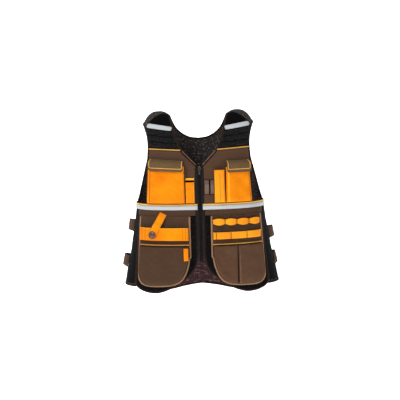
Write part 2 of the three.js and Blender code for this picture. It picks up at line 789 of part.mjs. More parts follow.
function shoulderReflector(sign) {
  const inner = neckInside(reflectorDrop);
  const row = levelRow(inner + 1, frontArmInside(reflectorDrop) - 3, () => reflectorDrop);
  const frames = steps(7).map((share) => frameAlong(sign, row(share)));
  return strip(frames, flatSection(reflectorHeight, layerGap, tapeThick));
}

// Zip
function zipTape(sign) {
  const middle = (zipTeethHalfWidth + zipHalfWidth) / 2;
  const width = zipHalfWidth - zipTeethHalfWidth - 2 * seamGap;
  const frames = zipDrops.map((drop) => frameAlong(sign, placeAt(middle, drop)));
  return strip(frames, flatSection(width, -1.6, 1));
}

function zipTeeth() {
  const drops = [zipTop + seamGap, ...zipDrops.slice(1)];
  const frames = drops.map((drop) => frameAlong(1, placeAt(0.001, drop)));
  return strip(frames, roundSection(2 * zipTeethHalfWidth - seamGap, 2.6, -2));
}

function hangingPlate(top, size, level) {
  const shares = [0, 0.12, 0.5, 0.88, 1];
  const frames = shares.map((share) => frameAlong(1, placeAt(0.001, top + size.down * share)));
  frames.forEach((frame, i) => (frame.scale = [0.55, 1, 0.85, 1, 0.55][i]));
  return strip(frames, roundSection(size.across, size.thick, level));
}

// Pocket: a cloth wall that stands out from the cloth behind, with an open top.
// lowEdge(u) and topEdge(u) give distance from the centre and drop; full(u) is a share of its depth.
function pocket(sign, pocketSize) {
  const { columns, rows, lowEdge, topEdge, base, depth, full = () => 1, mouth = 1 } = pocketSize;
  const level = base + layerGap;
  const across = [0, 0, ...columns, 1, 1];
  const up = [0, 0, ...rows, 1];
  const wall = (i, j, inside) => {
    const u = across[i];
    const v = up[j];
    const shareU = pocketThick / Math.abs(topEdge(1)[0] - topEdge(0)[0]);
    const shareV = pocketThick / Math.abs(lowEdge(u)[1] - topEdge(u)[1]);
    const edgeU = inside ? mix(shareU, 1 - shareU, u) : u;
    const edgeV = inside ? mix(shareV, 1, v) : v;
    const [xLow, dropLow] = lowEdge(edgeU);
    const [xTop, dropTop] = topEdge(edgeU);
    const x = mix(xLow, xTop, edgeV);
    const drop = mix(dropLow, dropTop, edgeV);
    const atFoot = i === 0 || i === across.length - 1 || j === 0;
    const outer = i <= 1 || i >= across.length - 2 || j <= 1;
    const out = depth * full(u) * (outer ? 0.62 : mix(1, mouth, v));
    const lift = atFoot ? level : level + Math.max(out, 2 * pocketThick) - (inside ? pocketThick : 0);
    return lifted(placeAt(sign * x, drop), lift, lift).low;
  };
  return new Sheet()
    .patch(across.length - 1, up.length - 1, (u, v) => {
      const i = Math.round(u * (across.length - 1));
      const j = Math.round(v * (up.length - 1));
      return { low: wall(i, j, true), high: wall(i, j, false) };
    })
    .geometry();
}

const evenly = (count) => steps(count + 1).slice(1, -1);

function chestPocket(sign, { inner, outer, depth }, top, innerTop) {
  const bottom = underarmDrop - 3;
  return pocket(sign, {
    columns: [0.08, 0.22, 0.4, 0.6, 0.78, 0.92],
    rows: [0.12, 0.5],
    lowEdge: line(inner - 1, outer + 4, bottom),
    topEdge: line(inner, outer, top, innerTop),
    base: bindingProud,
    depth,
  });
}

// Flap: leaves the chest at its seam and hangs over its pocket's mouth
function flapSheet(flap, depth) {
  const over = layerGap * 2 + bindingProud + depth;
  const rows = [0, 0.1, 0.4, 0.7, 0.85, 1];
  const liftAt = (v) => mix(over, layerGap, clamp((v - 0.72) / 0.28, 0, 1) ** 1.3);
  const corner = (u) => 1 - Math.max(0, 1 - Math.min(u, 1 - u) / 0.07) ** 2 * 0.16;
  return {
    rows,
    liftAt,
    edge: (u, v) => {
      const top = flap.drop + flap.fall * (1 - u);
      const low = top + flap.height * corner(u) - flap.fall * 0.4 * (1 - u);
      return [mix(flap.inner, flap.outer, u), mix(low, top, v)];
    },
  };
}

const insetShare = (inset, span) => (share) => mix(inset / span, 1 - inset / span, share);

function flapPiece(sign, flap, depth) {
  const { rows, liftAt, edge } = flapSheet(flap, depth);
  const narrow = insetShare(flapBinding + 3 * seamGap, flap.outer - flap.inner);
  const columns = [0, 0.07, 0.28, 0.5, 0.72, 0.93, 1];
  return new Sheet()
    .patch(columns.length - 1, rows.length - 1, (u, v) => {
      const across = narrow(columns[Math.round(u * (columns.length - 1))]);
      const up = mix((flapBinding + 3 * seamGap) / flap.height, 1, rows[Math.round(v * (rows.length - 1))]);
      const [x, drop] = edge(across, up);
      const lift = liftAt(up);
      return lifted(placeAt(sign * x, drop), lift, lift + clothThick * 0.7);
    })
    .geometry();
}

function flapTrim(sign, flap, depth) {
  const { liftAt, edge } = flapSheet(flap, depth);
  const across = [0, 0.03, 0.07, 0.28, 0.5, 0.72, 0.93, 0.97, 1];
  const path = [
    ...[1, 0.85, 0.7, 0.3].map((v) => [0, v]),
    ...across.map((u) => [u, 0]),
    ...[0.3, 0.7, 0.85, 1].map((v) => [1, v]),
  ];
  const frames = path.map(([u, v]) => {
    const [x, drop] = edge(u, v);
    return frameAlong(sign, placeAt(x, drop), liftAt(v));
  });
  const thick = clothThick * 0.7 + 0.8;
  const section = [0, 0.3, 1].map((share) => ({
    across: -sign * flapBinding * share,
    low: share === 0 ? 0.3 : 0,
    high: share === 0 ? thick - 0.5 : thick,
  }));
  return strip(frames, section);
}

// Standing webbing loop, with a tunnel behind it
function webLoop(sign, inner, outer) {
  const bottom = webLoopDrop + webLoopHeight;
  const foot = webLoopFoot / webLoopHeight;
  const rows = [0, foot, foot * 1.3, 0.5, 1 - foot * 1.3, 1 - foot, 1];
  const rise = [0, 0, 0.75, 1, 0.75, 0, 0];
  return new Sheet()
    .patch(1, rows.length - 1, (u, v) => {
      const j = Math.round(v * (rows.length - 1));
      const lift = layerGap + webLoopStand * rise[j];
      const place = placeAt(sign * mix(inner, outer, u), mix(bottom, webLoopDrop, rows[j]));
      return lifted(place, lift, lift + webThick);
    })
    .geometry();
}

// Pouch outline, from the inner edge round the bottom to the outer edge
const pouchTop = underarmDrop + pouchBelowWaist;
const pouchLow = vestLength - pouchAboveHem;
const pouchOuterAt = (drop) => mix(pouchTopOuter, pouchOuter, clamp((drop - pouchTop) / 200, 0, 1));

function pouchEdge(share, inset = 0) {
  const across = along(pouchBottom, "along", "across", share);
  const drop = mix(pouchTop, pouchLow, along(pouchBottom, "along", "down", share));
  const outer = pouchOuterAt(drop);
  const middle = (pouchInner + outer) / 2;
  const x = mix(pouchInner, outer, across);
  const shrink = 1 - (2 * inset) / (outer - pouchInner);
  return [middle + (x - middle) * shrink, drop - inset * clamp((drop - 470) / 70, 0, 1)];
}

const acrossPouch = (drop, inset) => (u) => [mix(pouchInner + inset, pouchOuterAt(drop) - inset, u), drop];
const boardHigh = layerGap + clothThick;

function pouchBoard(sign) {
  const inset = pouchBinding + seamGap;
  return frontSheet(
    sign,
    12,
    4,
    (u) => pouchEdge(u, inset),
    acrossPouch(pouchTop, inset),
    layerGap,
    boardHigh,
  );
}

function pouchTrim(sign) {
  const level = (share) => mix(pouchTop, pouchLow, share);
  const down = [pouchTop + pouchBinding / 2, ...[0.167, 0.338, 0.487].map(level)];
  const up = [...[0.637, 0.423, 0.209].map(level), pouchTop + pouchBinding / 2];
  const places = [
    ...down.map((drop) => [pouchInner, drop]),
    ...steps(14).map((share) => pouchEdge(share)),
    ...up.map((drop) => [pouchOuterAt(drop), drop]),
  ];
  const frames = places.map(([x, drop]) => frameAlong(sign, placeAt(x, drop)));
  const section = [0, 0.3, 1].map((share) => ({
    across: -sign * pouchBinding * share,
    low: layerGap + (share === 0 ? 0.9 : 0),
    high: boardHigh + (share === 0 ? 0 : bindingProud),
  }));
  return strip(frames, section);
}

const cargoInset = pouchBinding + seamGap + 1;
const crease = (u) => 1 - (centreFold / cargoDepth) * Math.max(0, 1 - Math.abs(u - 0.5) / 0.05);

function cargoPocket(sign, creased) {
  const columns = [0.03, 0.12, 0.22, 0.33, 0.45, 0.5, 0.55, 0.67, 0.78, 0.88, 0.97];
  return pocket(sign, {
    columns,
    rows: [0.1, 0.45],
    lowEdge: (u) => pouchEdge(u, cargoInset),
    topEdge: acrossPouch(cargoDrop + pipingWidth, cargoInset),
    base: boardHigh,
    depth: cargoDepth,
    full: creased ? crease : () => 1,
    mouth: 0.8,
  });
}

function cargoPiping(sign) {
  const ends = acrossPouch(cargoDrop, cargoInset);
  const frames = steps(11).map((share) => frameAlong(sign, placeAt(...ends(share)), boardHigh + layerGap));
  return strip(frames, roundSection(pipingWidth, pipingThick, 0));
}

function bandPocketPiece() {
  return pocket(-1, {
    columns: [0.04, 0.09, 0.22, 0.36, 0.5, 0.64, 0.78, 0.91, 0.96],
    rows: [0.15],
    lowEdge: acrossPouch(bandPocket.drop + bandPocket.height, cargoInset),
    topEdge: acrossPouch(bandPocket.drop, cargoInset),
    base: boardHigh,
    depth: bandPocket.depth,
  });
}

// Rises between stations and drops to 0 at each
const scallops = (stations, sharp) => (u) => {
  const span = stations[stations.length - 1] - stations[0];
  const x = stations[0] + span * u;
  const i = stations.findIndex((wall, k) => k > 0 && x <= wall + 0.001);
  const share = clamp((x - stations[i - 1]) / (stations[i] - stations[i - 1]), 0, 1);
  return Math.max(Math.sin(Math.PI * share), 0) ** sharp;
};

const stationShares = (stations, shares) => {
  const span = stations[stations.length - 1] - stations[0];
  const places = stations.slice(0, -1).flatMap((from, i) => {
    return shares.map((share) => (mix(from, stations[i + 1], share) - stations[0]) / span);
  });
  return places.filter((place) => place > 0.001);
};

function penPocketsPiece() {
  const puff = scallops(penPocketWalls, 0.5);
  const [inner] = penPocketWalls;
  const outer = penPocketWalls[penPocketWalls.length - 1];
  return pocket(1, {
    columns: stationShares(penPocketWalls, [0, 0.12, 0.5, 0.88]),
    rows: [0.2],
    lowEdge: line(inner, outer, penPockets.drop + penPockets.height),
    topEdge: line(inner, outer, penPockets.drop),
    base: boardHigh,
    depth: penPockets.depth,
    full: (u) => 0.45 + 0.55 * puff(u),
  });
}

function loopTapePiece() {
  const puff = scallops(loopTapeEnds, 0.8);
  const shares = [0, ...stationShares(loopTapeEnds, [0, 0.25, 0.5, 0.75]), 1];
  const level = boardHigh + layerGap;
  return new Sheet()
    .patch(shares.length - 1, 2, (u, v) => {
      const share = shares[Math.round(u * (shares.length - 1))];
      const height = mix(loopTape.waist, loopTape.height, puff(share));
      const drop = loopTape.drop + loopTape.height / 2 + height * (0.5 - v) + 3 * share;
      const x = mix(loopTapeEnds[0], loopTapeEnds[loopTapeEnds.length - 1], share);
      const lift = level + loopTape.depth * puff(share);
      return lifted(placeAt(x, drop), lift, lift + webThick);
    })
    .geometry();
}

function labelPiece() {
  const low = (u, v) => boardHigh + 2 * layerGap + cargoDepth * mix(0.95, 0.86, v);
  const high = (u, v) => low(u, v) + 1;
  const edge = (drop) => (u) => [mix(label.inner, label.outer, u), drop];
  return frontSheet(-1, 2, 2, edge(label.drop + label.height), edge(label.drop), low, high);
}

const overBand = boardHigh + layerGap + bandPocket.depth;
function strapPath() {
  const span = Math.hypot(strapSnap.x - strapTop.x, strapSnap.drop - strapTop.drop);
  const reach = (span + strapTail) / span;
  const shares = [0, 0.05, 0.13, 0.24, 0.4, 0.56, 0.78, 1, reach - 0.08, reach];
  const lifts = [0, 2.6, 5, 7.4, 10, overBand, overBand, overBand, overBand, overBand];
  return shares.map((share, i) => {
    const place = placeAt(mix(strapTop.x, strapSnap.x, share), mix(strapTop.drop, strapSnap.drop, share));
    const frame = frameAlong(-1, place, lifts[i] + layerGap);
    frame.scale = i === shares.length - 1 ? 0.55 : 1;
    return frame;
  });
}

function hammerStrap() {
  return strip(strapPath(), flatSection(strapWidth, 0, webThick));
}

function disc(frame, radius, level, thick) {
  const across = new THREE.Vector3(1, 0, 0).cross(frame.normal).normalize();
  const beside = across.clone().cross(frame.normal);
  const rings = [1, 0.82, 0];
  const heights = [0.55, 1, 0.9];
  return new Sheet()
    .patch(14, 2, (u, v) => {
      const ring = Math.round(v * 2);
      const turn = (2 * Math.PI * (Math.round(u * 14) % 14)) / 14;
      const flat = frame.point
        .clone()
        .addScaledVector(across, radius * rings[ring] * Math.sin(turn))
        .addScaledVector(beside, radius * rings[ring] * Math.cos(turn));
      return {
        low: flat.clone().addScaledVector(frame.normal, level),
        high: flat.clone().addScaledVector(frame.normal, level + thick * heights[ring]),
      };
    })
    .geometry();
}

// Side strap: a webbing loop standing off the side
function sideStrap({ side, drop, droop, bulge }) {
  const shares = [0, 0.06, 0.16, 0.28, 0.4, 0.52, 0.64, 0.76, 0.88, 0.95, 1];
  return new Sheet()
    .patch(shares.length - 1, 2, (u, v) => {
      const share = shares[Math.round(u * (shares.length - 1))];
      const angle = mix(sideStrapFront, sideStrapBack, share);
      const sag = droop * Math.sin((Math.PI / 2) * share) ** 2;
      const lift = layerGap + bulge * Math.sin(Math.PI * clamp((share - 0.06) / 0.89, 0, 1)) ** 0.75;
      const run = drop + sag + sideStrapWidth * (0.5 - v);
      return lifted({ angle: side * angle, run }, lift, lift + webThick);
    })
    .geometry();
}

for (const { name, sign } of SIDES) {
  addPiece(`${name}_chest_panel`, chestPanel(sign), colours.brown);
  addPiece(`${name}_skirt_panel`, skirtPanel(sign), colours.black);
  addPiece(`${name}_shoulder_pad`, shoulderPad(sign), colours.black);
  addPiece(`${name}_shoulder_reflector`, shoulderReflector(sign), colours.silver);
  addPiece(`${name}_chest_piping`, chestPiping(sign), colours.amber);
  addPiece(`${name}_arm_binding`, armBinding(sign), colours.darkBinding);
  addPiece(`${name}_front_binding`, frontBinding(sign), colours.darkBinding);
  const edgingDrop = underarmDrop + waistEdging / 2;
  const tapeDrop = underarmDrop + waistEdging + layerGap + waistTapeHeight / 2;
  addPiece(`${name}_waist_edging`, waistStrip(sign, edgingDrop, waistEdging), colours.amber);
  addPiece(`${name}_waist_reflector`, waistStrip(sign, tapeDrop, waistTapeHeight), colours.silver);
  addPiece(`${name}_zip_tape`, zipTape(sign), colours.black);
  addPiece(`${name}_pouch_board`, pouchBoard(sign), colours.brown);
  addPiece(`${name}_pouch_binding`, pouchTrim(sign), colours.tan);
  addPiece(`${name}_cargo_pocket`, cargoPocket(sign, sign > 0), colours.brown);
  addPiece(`${name}_cargo_piping`, cargoPiping(sign), colours.amber);
}
addPiece("back_panel", backPanel(), colours.black);
addPiece("neck_binding", neckBinding(), colours.darkBinding);
addPiece("back_hem_binding", backHemBinding(), colours.darkBinding);
addPiece("zip_teeth", zipTeeth(), colours.black);
addPiece("zip_slider", hangingPlate(neckDrop, sliderSize, -sliderSize.thick / 2), colours.metal);
addPiece("zip_pull", hangingPlate(neckDrop + 4, pullSize, sliderSize.thick / 2 + seamGap), colours.silver);

const rightMouth = rightFlap.drop + rightFlap.height - flapOverlap;
const leftMouth = leftFlap.drop + leftFlap.height - flapOverlap;
addPiece("right_chest_pocket", chestPocket(-1, rightPocket, rightMouth, rightMouth + 4), colours.orange);
addPiece("right_chest_flap", flapPiece(-1, rightFlap, rightPocket.depth), colours.flapBrown);
addPiece("right_flap_binding", flapTrim(-1, rightFlap, rightPocket.depth), colours.amber);
addPiece("left_chest_pocket", chestPocket(1, leftPocket, leftMouth, leftMouth + 1), colours.orange);
addPiece("left_chest_flap", flapPiece(1, leftFlap, leftPocket.depth), colours.flapBrown);
addPiece("left_flap_binding", flapTrim(1, leftFlap, leftPocket.depth), colours.amber);

addPiece(
  "pen_sleeve",
  pocket(-1, {
    columns: [0.2, 0.5, 0.8],
    rows: [0.15],
    lowEdge: line(penSleeve.inner, penSleeve.outer, underarmDrop - 3),
    topEdge: line(penSleeve.inner, penSleeve.outer, penSleeve.drop),
    base: 0,
    depth: penSleeve.depth,
  }),
  colours.orange,
);
const tabHigh = layerGap + webThick;
const tabRow = (drop) => (u) => [mix(penSleeve.inner, penSleeve.outer, u), drop];
addPiece(
  "pen_tab",
  frontSheet(-1, 3, 1, tabRow(penTab.drop + penTab.height), tabRow(penTab.drop), layerGap, tabHigh),
  colours.orange,
);
addPiece(
  "tool_sleeve",
  pocket(1, {
    columns: [0.18, 0.5, 0.82],
    rows: [0.1, 0.3, 0.52, 0.75],
    lowEdge: line(toolSleeve.inner, toolSleeve.outer + 2, underarmDrop - 3),
    topEdge: line(toolSleeve.inner, toolSleeve.outer, toolSleeve.drop),
    base: 0,
    depth: toolSleeve.depth,
    full: (u) => 0.8 + 0.2 * Math.sin(Math.PI * u),
    mouth: 1.15,
  }),
  colours.orange,
);
webLoops.forEach(({ name, inner, outer }) => addPiece(name, webLoop(1, inner, outer), colours.loopWeb));

addPiece("band_pocket", bandPocketPiece(), colours.orange);
addPiece("pen_pockets", penPocketsPiece(), colours.orange);
addPiece("loop_tape", loopTapePiece(), colours.orange);
addPiece("label_tab", labelPiece(), colours.orange);
addPiece("hammer_strap", hammerStrap(), colours.orange);
addPiece("strap_snap", disc(strapPath()[7], snapRadius, webThick + 0.4, snapThick), colours.metal);
sideStraps.forEach((strap) => addPiece(strap.name, sideStrap(strap), colours.webbing));

export default vest;
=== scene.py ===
"""Utility work vest in its worn shape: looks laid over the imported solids.

Sizes are in millimetres until a mesh is finished, which is in metres. X runs to the wearer's left,
Y to the wearer's back and Z up. A drop is a distance below the shoulder crest, a run is the same along
the shoulder's arch, and a lift is a distance out from the form.
"""

from __future__ import annotations

import logging
import math
from dataclasses import dataclass, field
from enum import Enum
from typing import Callable, Sequence

import bmesh
import bpy
import numpy as np
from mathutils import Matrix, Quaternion, Vector

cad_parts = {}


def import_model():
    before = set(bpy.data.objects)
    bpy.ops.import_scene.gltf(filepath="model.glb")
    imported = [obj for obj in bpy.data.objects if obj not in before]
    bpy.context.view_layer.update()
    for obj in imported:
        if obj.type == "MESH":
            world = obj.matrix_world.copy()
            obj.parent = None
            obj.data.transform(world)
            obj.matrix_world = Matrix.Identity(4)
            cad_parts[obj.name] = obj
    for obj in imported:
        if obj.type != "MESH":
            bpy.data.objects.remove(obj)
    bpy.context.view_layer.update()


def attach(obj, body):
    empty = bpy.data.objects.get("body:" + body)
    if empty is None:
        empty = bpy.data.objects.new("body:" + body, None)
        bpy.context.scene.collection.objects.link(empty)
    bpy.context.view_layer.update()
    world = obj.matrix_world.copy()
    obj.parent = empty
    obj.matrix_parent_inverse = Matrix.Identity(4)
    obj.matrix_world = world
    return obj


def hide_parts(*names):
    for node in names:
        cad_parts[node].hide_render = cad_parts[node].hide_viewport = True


LOG = logging.getLogger("work_vest")
MM = 0.001

# Arrays of numbers, paths as points with their normals, and the rules that give edges and surfaces
Shares = np.ndarray
Spots = tuple[np.ndarray, np.ndarray]
Pair = tuple[Shares, Shares]
Edge = Callable[[Shares], Shares]
Row = Callable[[Shares], Pair]
Section = Sequence[tuple[float, float]]
Mapper = Callable[[Shares, Shares], np.ndarray]


class Side(Enum):
    """The wearer's two sides, with the sign of X there."""

    RIGHT = -1
    LEFT = 1

    @property
    def word(self) -> str:
        """Name of the side in piece names."""
        return self.name.lower()


def mix(low: float | Shares, high: float | Shares, share: float | Shares) -> Shares:
    """Value between two values at a share of the way."""
    return low + (high - low) * share


def ease(low: float, high: float, value: float | Shares) -> Shares:
    """Smooth step from 0 at low to 1 at high."""
    share = np.clip((np.asarray(value, float) - low) / (high - low), 0, 1)
    return share * share * (3 - 2 * share)


def signed_power(value: Shares, power: float) -> Shares:
    """Power of a value that keeps its sign."""
    return np.sign(value) * np.abs(value) ** power


def travelled(points: np.ndarray) -> np.ndarray:
    """Distance along a path at each of its points."""
    return np.concatenate([[0], np.cumsum(np.linalg.norm(np.diff(points, axis=0), axis=1))])


class Curve:
    """Smooth curve through rows of a place and a value."""

    def __init__(self, *rows: tuple[float, float]) -> None:
        """Keep the rows.

        Args:
            rows: A place, rising from row to row, and the value there.
        """
        self.at = np.array([row[0] for row in rows])
        self.value = np.array([row[1] for row in rows])

    def __call__(self, place: float | Shares) -> Shares:
        """Value at a place.

        Args:
            place: One place or several; past the ends the end value holds.

        Returns:
            The value or values.
        """
        place = np.asarray(place, float)
        last = len(self.at) - 1
        i = np.clip(np.searchsorted(self.at, place, side="right") - 1, 0, last - 1)
        span = self.at[i + 1] - self.at[i]
        share = np.clip((place - self.at[i]) / span, 0, 1)

        def slope(k: np.ndarray) -> np.ndarray:
            """Slope of the curve at a row."""
            before, after = np.maximum(k - 1, 0), np.minimum(k + 1, last)
            return (self.value[after] - self.value[before]) / (self.at[after] - self.at[before])

        rise = share * share * (3 - 2 * share)
        lean = slope(i) * (share - 2 * share**2 + share**3) + slope(i + 1) * (share**3 - share**2)
        return mix(self.value[i], self.value[i + 1], rise) + lean * span


@dataclass(frozen=True)
class VestForm:
    """The worn shape that every cloth lies on, in millimetres."""

    length: float = 598.0
    hem_half_width: float = 264.0
    front_depth: float = 128.0
    back_depth: float = 112.0
    squareness: float = 2.6
    arch_squareness: float = 2.2
    arch_drop: float = 150.0
    underarm_drop: float = 303.0
    side_low: float = 579.0
    neck_drop: float = 181.0
    back_neck_drop: float = 96.0
    strap_inner: float = 94.0
    strap_outer: float = 184.0
    crest_peak: float = 126.0
    crest_inner_drop: float = 14.0
    crest_outer_drop: float = 42.0
    zip_half_width: float = 8.0
    piping_top: float = 122.0
    piping_slant: float = 6.0
    piping_outer: float = 160.0
    piping_span: float = 106.0
    binding: float = 6.5
    width: Curve = Curve(
        (0.0, 0.803), (0.25, 0.803), (0.507, 0.811), (0.594, 0.833), (0.686, 0.867),
        (0.786, 0.909), (0.87, 0.951), (0.975, 0.996), (1.08, 1.015),
    )  # fmt: skip
    front: Curve = Curve(
        (0.0, 0.83), (0.25, 0.845), (0.507, 0.906), (0.594, 0.922), (0.686, 0.94),
        (0.786, 0.96), (0.87, 0.98), (0.975, 1.0), (1.08, 1.01),
    )  # fmt: skip
    back: Curve = Curve(
        (0.0, 0.93), (0.25, 0.93), (0.507, 0.946), (0.594, 0.955), (0.686, 0.965),
        (0.786, 0.975), (0.87, 0.985), (0.975, 1.0), (1.08, 1.0),
    )  # fmt: skip
    arm_front: Curve = Curve(
        (0.139, 1.0), (0.185, 0.966), (0.274, 0.922), (0.38, 0.908), (0.52, 0.924),
        (0.68, 0.944), (0.85, 0.956), (1.0, 0.97),
    )  # fmt: skip
    arm_back: Curve = Curve(
        (0.139, 1.0), (0.2, 0.965), (0.31, 0.93), (0.43, 0.935), (0.56, 0.985),
        (0.7, 1.04), (0.85, 1.095), (0.95, 1.128), (1.0, 1.15),
    )  # fmt: skip
    neck_front: Curve = Curve(
        (0.0775, 1.0), (0.2, 0.91), (0.34, 0.855), (0.52, 0.745), (0.69, 0.605),
        (0.86, 0.31), (0.97, 0.11), (1.0, 0.085),
    )  # fmt: skip
    neck_back_out: Curve = Curve(
        (0.0, 1.0), (0.22, 0.93), (0.42, 0.8), (0.6, 0.61), (0.8, 0.33), (1.0, 0.0)
    )
    neck_back_down: Curve = Curve(
        (0.0, 0.146), (0.22, 0.35), (0.42, 0.61), (0.6, 0.8), (0.8, 0.95), (1.0, 1.0)
    )
    hem_across: Curve = Curve(
        (0.0, 0.042), (0.1, 0.062), (0.2, 0.11), (0.32, 0.2), (0.45, 0.36), (0.6, 0.53),
        (0.75, 0.67), (0.88, 0.775), (1.0, 0.84),
    )  # fmt: skip
    hem_down: Curve = Curve(
        (0.0, 0.823), (0.1, 0.85), (0.2, 0.885), (0.32, 0.92), (0.45, 0.967), (0.6, 0.996),
        (0.75, 0.997), (0.88, 0.983), (1.0, 0.963),
    )  # fmt: skip
    hem_back: Curve = Curve(
        (52.0, 0.968), (90.0, 0.975), (113.0, 0.983), (131.0, 1.015), (146.0, 1.05),
        (160.0, 1.066), (172.0, 1.048), (180.0, 1.034),
    )  # fmt: skip

    def crest(self, x: Shares) -> Shares:
        """Drop of the shoulder crest at a distance from the centre."""
        out = np.abs(x) - self.crest_peak
        inner = self.crest_inner_drop * np.minimum(-out / (self.crest_peak - self.strap_inner), 1) ** 2
        outer = self.crest_outer_drop * (np.abs(out) / (self.strap_outer - self.crest_peak)) ** 3
        return np.where(out < 0, inner, np.minimum(outer, self.arch_drop * 0.9))

    def point(self, angle: Shares, run: Shares) -> np.ndarray:
        """Point of the form.

        Args:
            angle: Degrees round from the front centre to the wearer's left.
            run: Drop below the arch, and less along the arch; below 0 it passes over the crest.

        Returns:
            Points as rows of X, Y and Z in millimetres.
        """
        angle, run = np.broadcast_arrays(np.asarray(angle, float), np.asarray(run, float))
        angle = np.where(run < 0, np.sign(angle) * 180 - angle, angle)
        run = np.abs(run)
        drop = np.maximum(run, self.arch_drop)
        sine, cosine = np.sin(np.radians(angle)), np.cos(np.radians(angle))
        share = drop / self.length
        x = self.hem_half_width * self.width(share) * signed_power(sine, 2 / self.squareness)
        front, back = self.front_depth * self.front(share), self.back_depth * self.back(share)
        depth = np.where(cosine > 0, front, back)
        y = -depth * signed_power(cosine, 2 / self.squareness)
        turn = (math.pi / 2) * (1 - np.minimum(run, self.arch_drop) / self.arch_drop)
        rise = (self.arch_drop - self.crest(x)) * np.sin(turn) ** (2 / self.arch_squareness)
        shrink = np.abs(np.cos(turn)) ** (2 / self.arch_squareness)
        over = run < self.arch_drop
        return np.stack(
            [x, np.where(over, y * shrink, y), np.where(over, rise - self.arch_drop, -run)], axis=-1
        )

    def normal(self, angle: Shares, run: Shares) -> np.ndarray:
        """Outward unit normals of the form at the same places as point()."""
        around = self.point(angle + 1.5, run) - self.point(angle - 1.5, run)
        up = self.point(angle, run - 2.5) - self.point(angle, run + 2.5)
        normal = np.cross(around, up)
        normal /= np.maximum(np.linalg.norm(normal, axis=-1, keepdims=True), 1e-9)
        here = self.point(angle, run)
        outward = here.copy()
        outward[..., 0] *= 0.4
        outward[..., 2] = np.maximum(self.arch_drop - np.abs(run), 0)
        facing = np.sign((normal * outward).sum(axis=-1, keepdims=True))
        return normal * np.where(facing == 0, 1, facing)

    def lifted(self, angle: Shares, run: Shares, lift: Shares | float) -> np.ndarray:
        """Points a lift out from the form."""
        return self.point(angle, run) + self.normal(angle, run) * np.asarray(lift, float)[..., None]

    def place(self, x: Shares, drop: Shares, back: bool = False) -> Pair:
        """Angle and run of a place seen from the front or the back.

        Args:
            x: Distance from the centre, to the wearer's left.
            drop: Distance below the shoulder crest.
            back: Whether the place is on the back.

        Returns:
            The angle and the run.
        """
        x, drop = np.broadcast_arrays(np.asarray(x, float), np.asarray(drop, float))
        level = np.maximum(drop, self.arch_drop)
        share = np.clip(np.abs(x) / (self.hem_half_width * self.width(level / self.length)), 0, 0.9999)
        turn = np.degrees(np.arcsin(share ** (self.squareness / 2)))
        angle = np.where(x < 0, -1, 1) * (180 - turn if back else turn)
        height = np.clip((self.arch_drop - drop) / (self.arch_drop - self.crest(x)), 0, 1)
        arch_run = self.arch_drop * (1 - np.degrees(np.arcsin(height ** (self.arch_squareness / 2))) / 90)
        return angle, np.where(drop >= self.arch_drop, drop, arch_run)

    def angle_at(self, x: Shares, drop: Shares, back: bool = False) -> Shares:
        """Angle of a place, as in place()."""
        return self.place(x, drop, back)[0]

    def over(self, sign: float, x: Shares, drop: Shares, lift: Shares | float) -> np.ndarray:
        """Points a lift out from a place on the front, on the side that sign gives."""
        angle, run = self.place(x, drop)
        return self.lifted(angle * sign, run, lift)

    def drop_at(self, x: Shares, run: Shares) -> Shares:
        """Drop of a place at a run along the arch."""
        turn = (math.pi / 2) * (1 - np.minimum(run, self.arch_drop) / self.arch_drop)
        rise = (self.arch_drop - self.crest(x)) * np.sin(turn) ** (2 / self.arch_squareness)
        return np.where(run >= self.arch_drop, run, self.arch_drop - rise)

    @property
    def inset(self) -> float:
        """Distance from an edge to where its cloth ends inside the binding."""
        return self.binding * 0.55

    def arm_edge(self, drop: Shares, back: bool = False) -> Shares:
        """Distance from the centre to the arm opening's edge."""
        rows = self.arm_back if back else self.arm_front
        return self.strap_outer * rows(np.asarray(drop, float) / self.underarm_drop)

    def neck_edge(self, drop: Shares) -> Shares:
        """Distance from the centre to the front neck's edge."""
        return self.strap_inner * self.neck_front(np.asarray(drop, float) / self.neck_drop)

    def inside(self, edge: Edge, drop: Shares, sign: float) -> Shares:
        """Distance from the centre just inside a sloping edge, on the side that sign gives."""
        slope = (edge(drop + 2) - edge(drop - 2)) / 4
        return edge(drop) + sign * self.inset * np.minimum(np.hypot(1, slope), 1.8)

    def seam_angle(self, drop: Shares) -> Shares:
        """Angle of the side seam between front and back."""
        return mix(67.0, 52.0, (drop - self.underarm_drop) / (self.length - self.underarm_drop))

    @property
    def seam_low_angle(self) -> float:
        """Angle of the side seam at its lower end."""
        return float(self.seam_angle(np.array(self.side_low)))

    def edge_place(self, edge: Edge, run: Shares, back: bool) -> Pair:
        """Place on an edge at a run along the arch."""
        x = edge(run)
        for _ in range(8):
            x = edge(self.drop_at(x, run))
        angle = self.angle_at(x, np.full_like(np.asarray(run, float), self.arch_drop), back)
        return angle, np.asarray(run, float)

    def back_neck(self, share: Shares, inset: float = 0.0) -> Pair:
        """Place on the back neck's edge, from the crest at 0 to the centre at 1."""
        share = np.clip(share, 0, 1)
        x = self.strap_inner * self.neck_back_out(share)
        drop = np.maximum(self.back_neck_drop * self.neck_back_down(share), self.crest_inner_drop)
        angle, run = self.place(x, drop, True)
        away = ease(0.2, 0.75, share)
        beside = self.angle_at(x + inset * (1 - away) * 1.15, np.full_like(x, self.arch_drop), True)
        return np.where(inset > 0, beside, angle), run + inset * 1.1 * away

    def hem_edge(self, share: Shares) -> Pair:
        """Distance from the centre and drop on the front hem, from the zip to the side seam."""
        return self.hem_half_width * self.hem_across(share), self.length * self.hem_down(share)

    def piping_fall(self, x: Shares) -> Shares:
        """How far the chest piping falls from its outer end towards the neck."""
        return self.piping_slant * np.clip((self.piping_outer - np.abs(x)) / self.piping_span, 0, 1)

    def piping_drop(self, x: Shares) -> Shares:
        """Drop of the chest piping at a distance from the centre."""
        return self.piping_top + self.piping_fall(x)


FORM = VestForm()

# Finishes


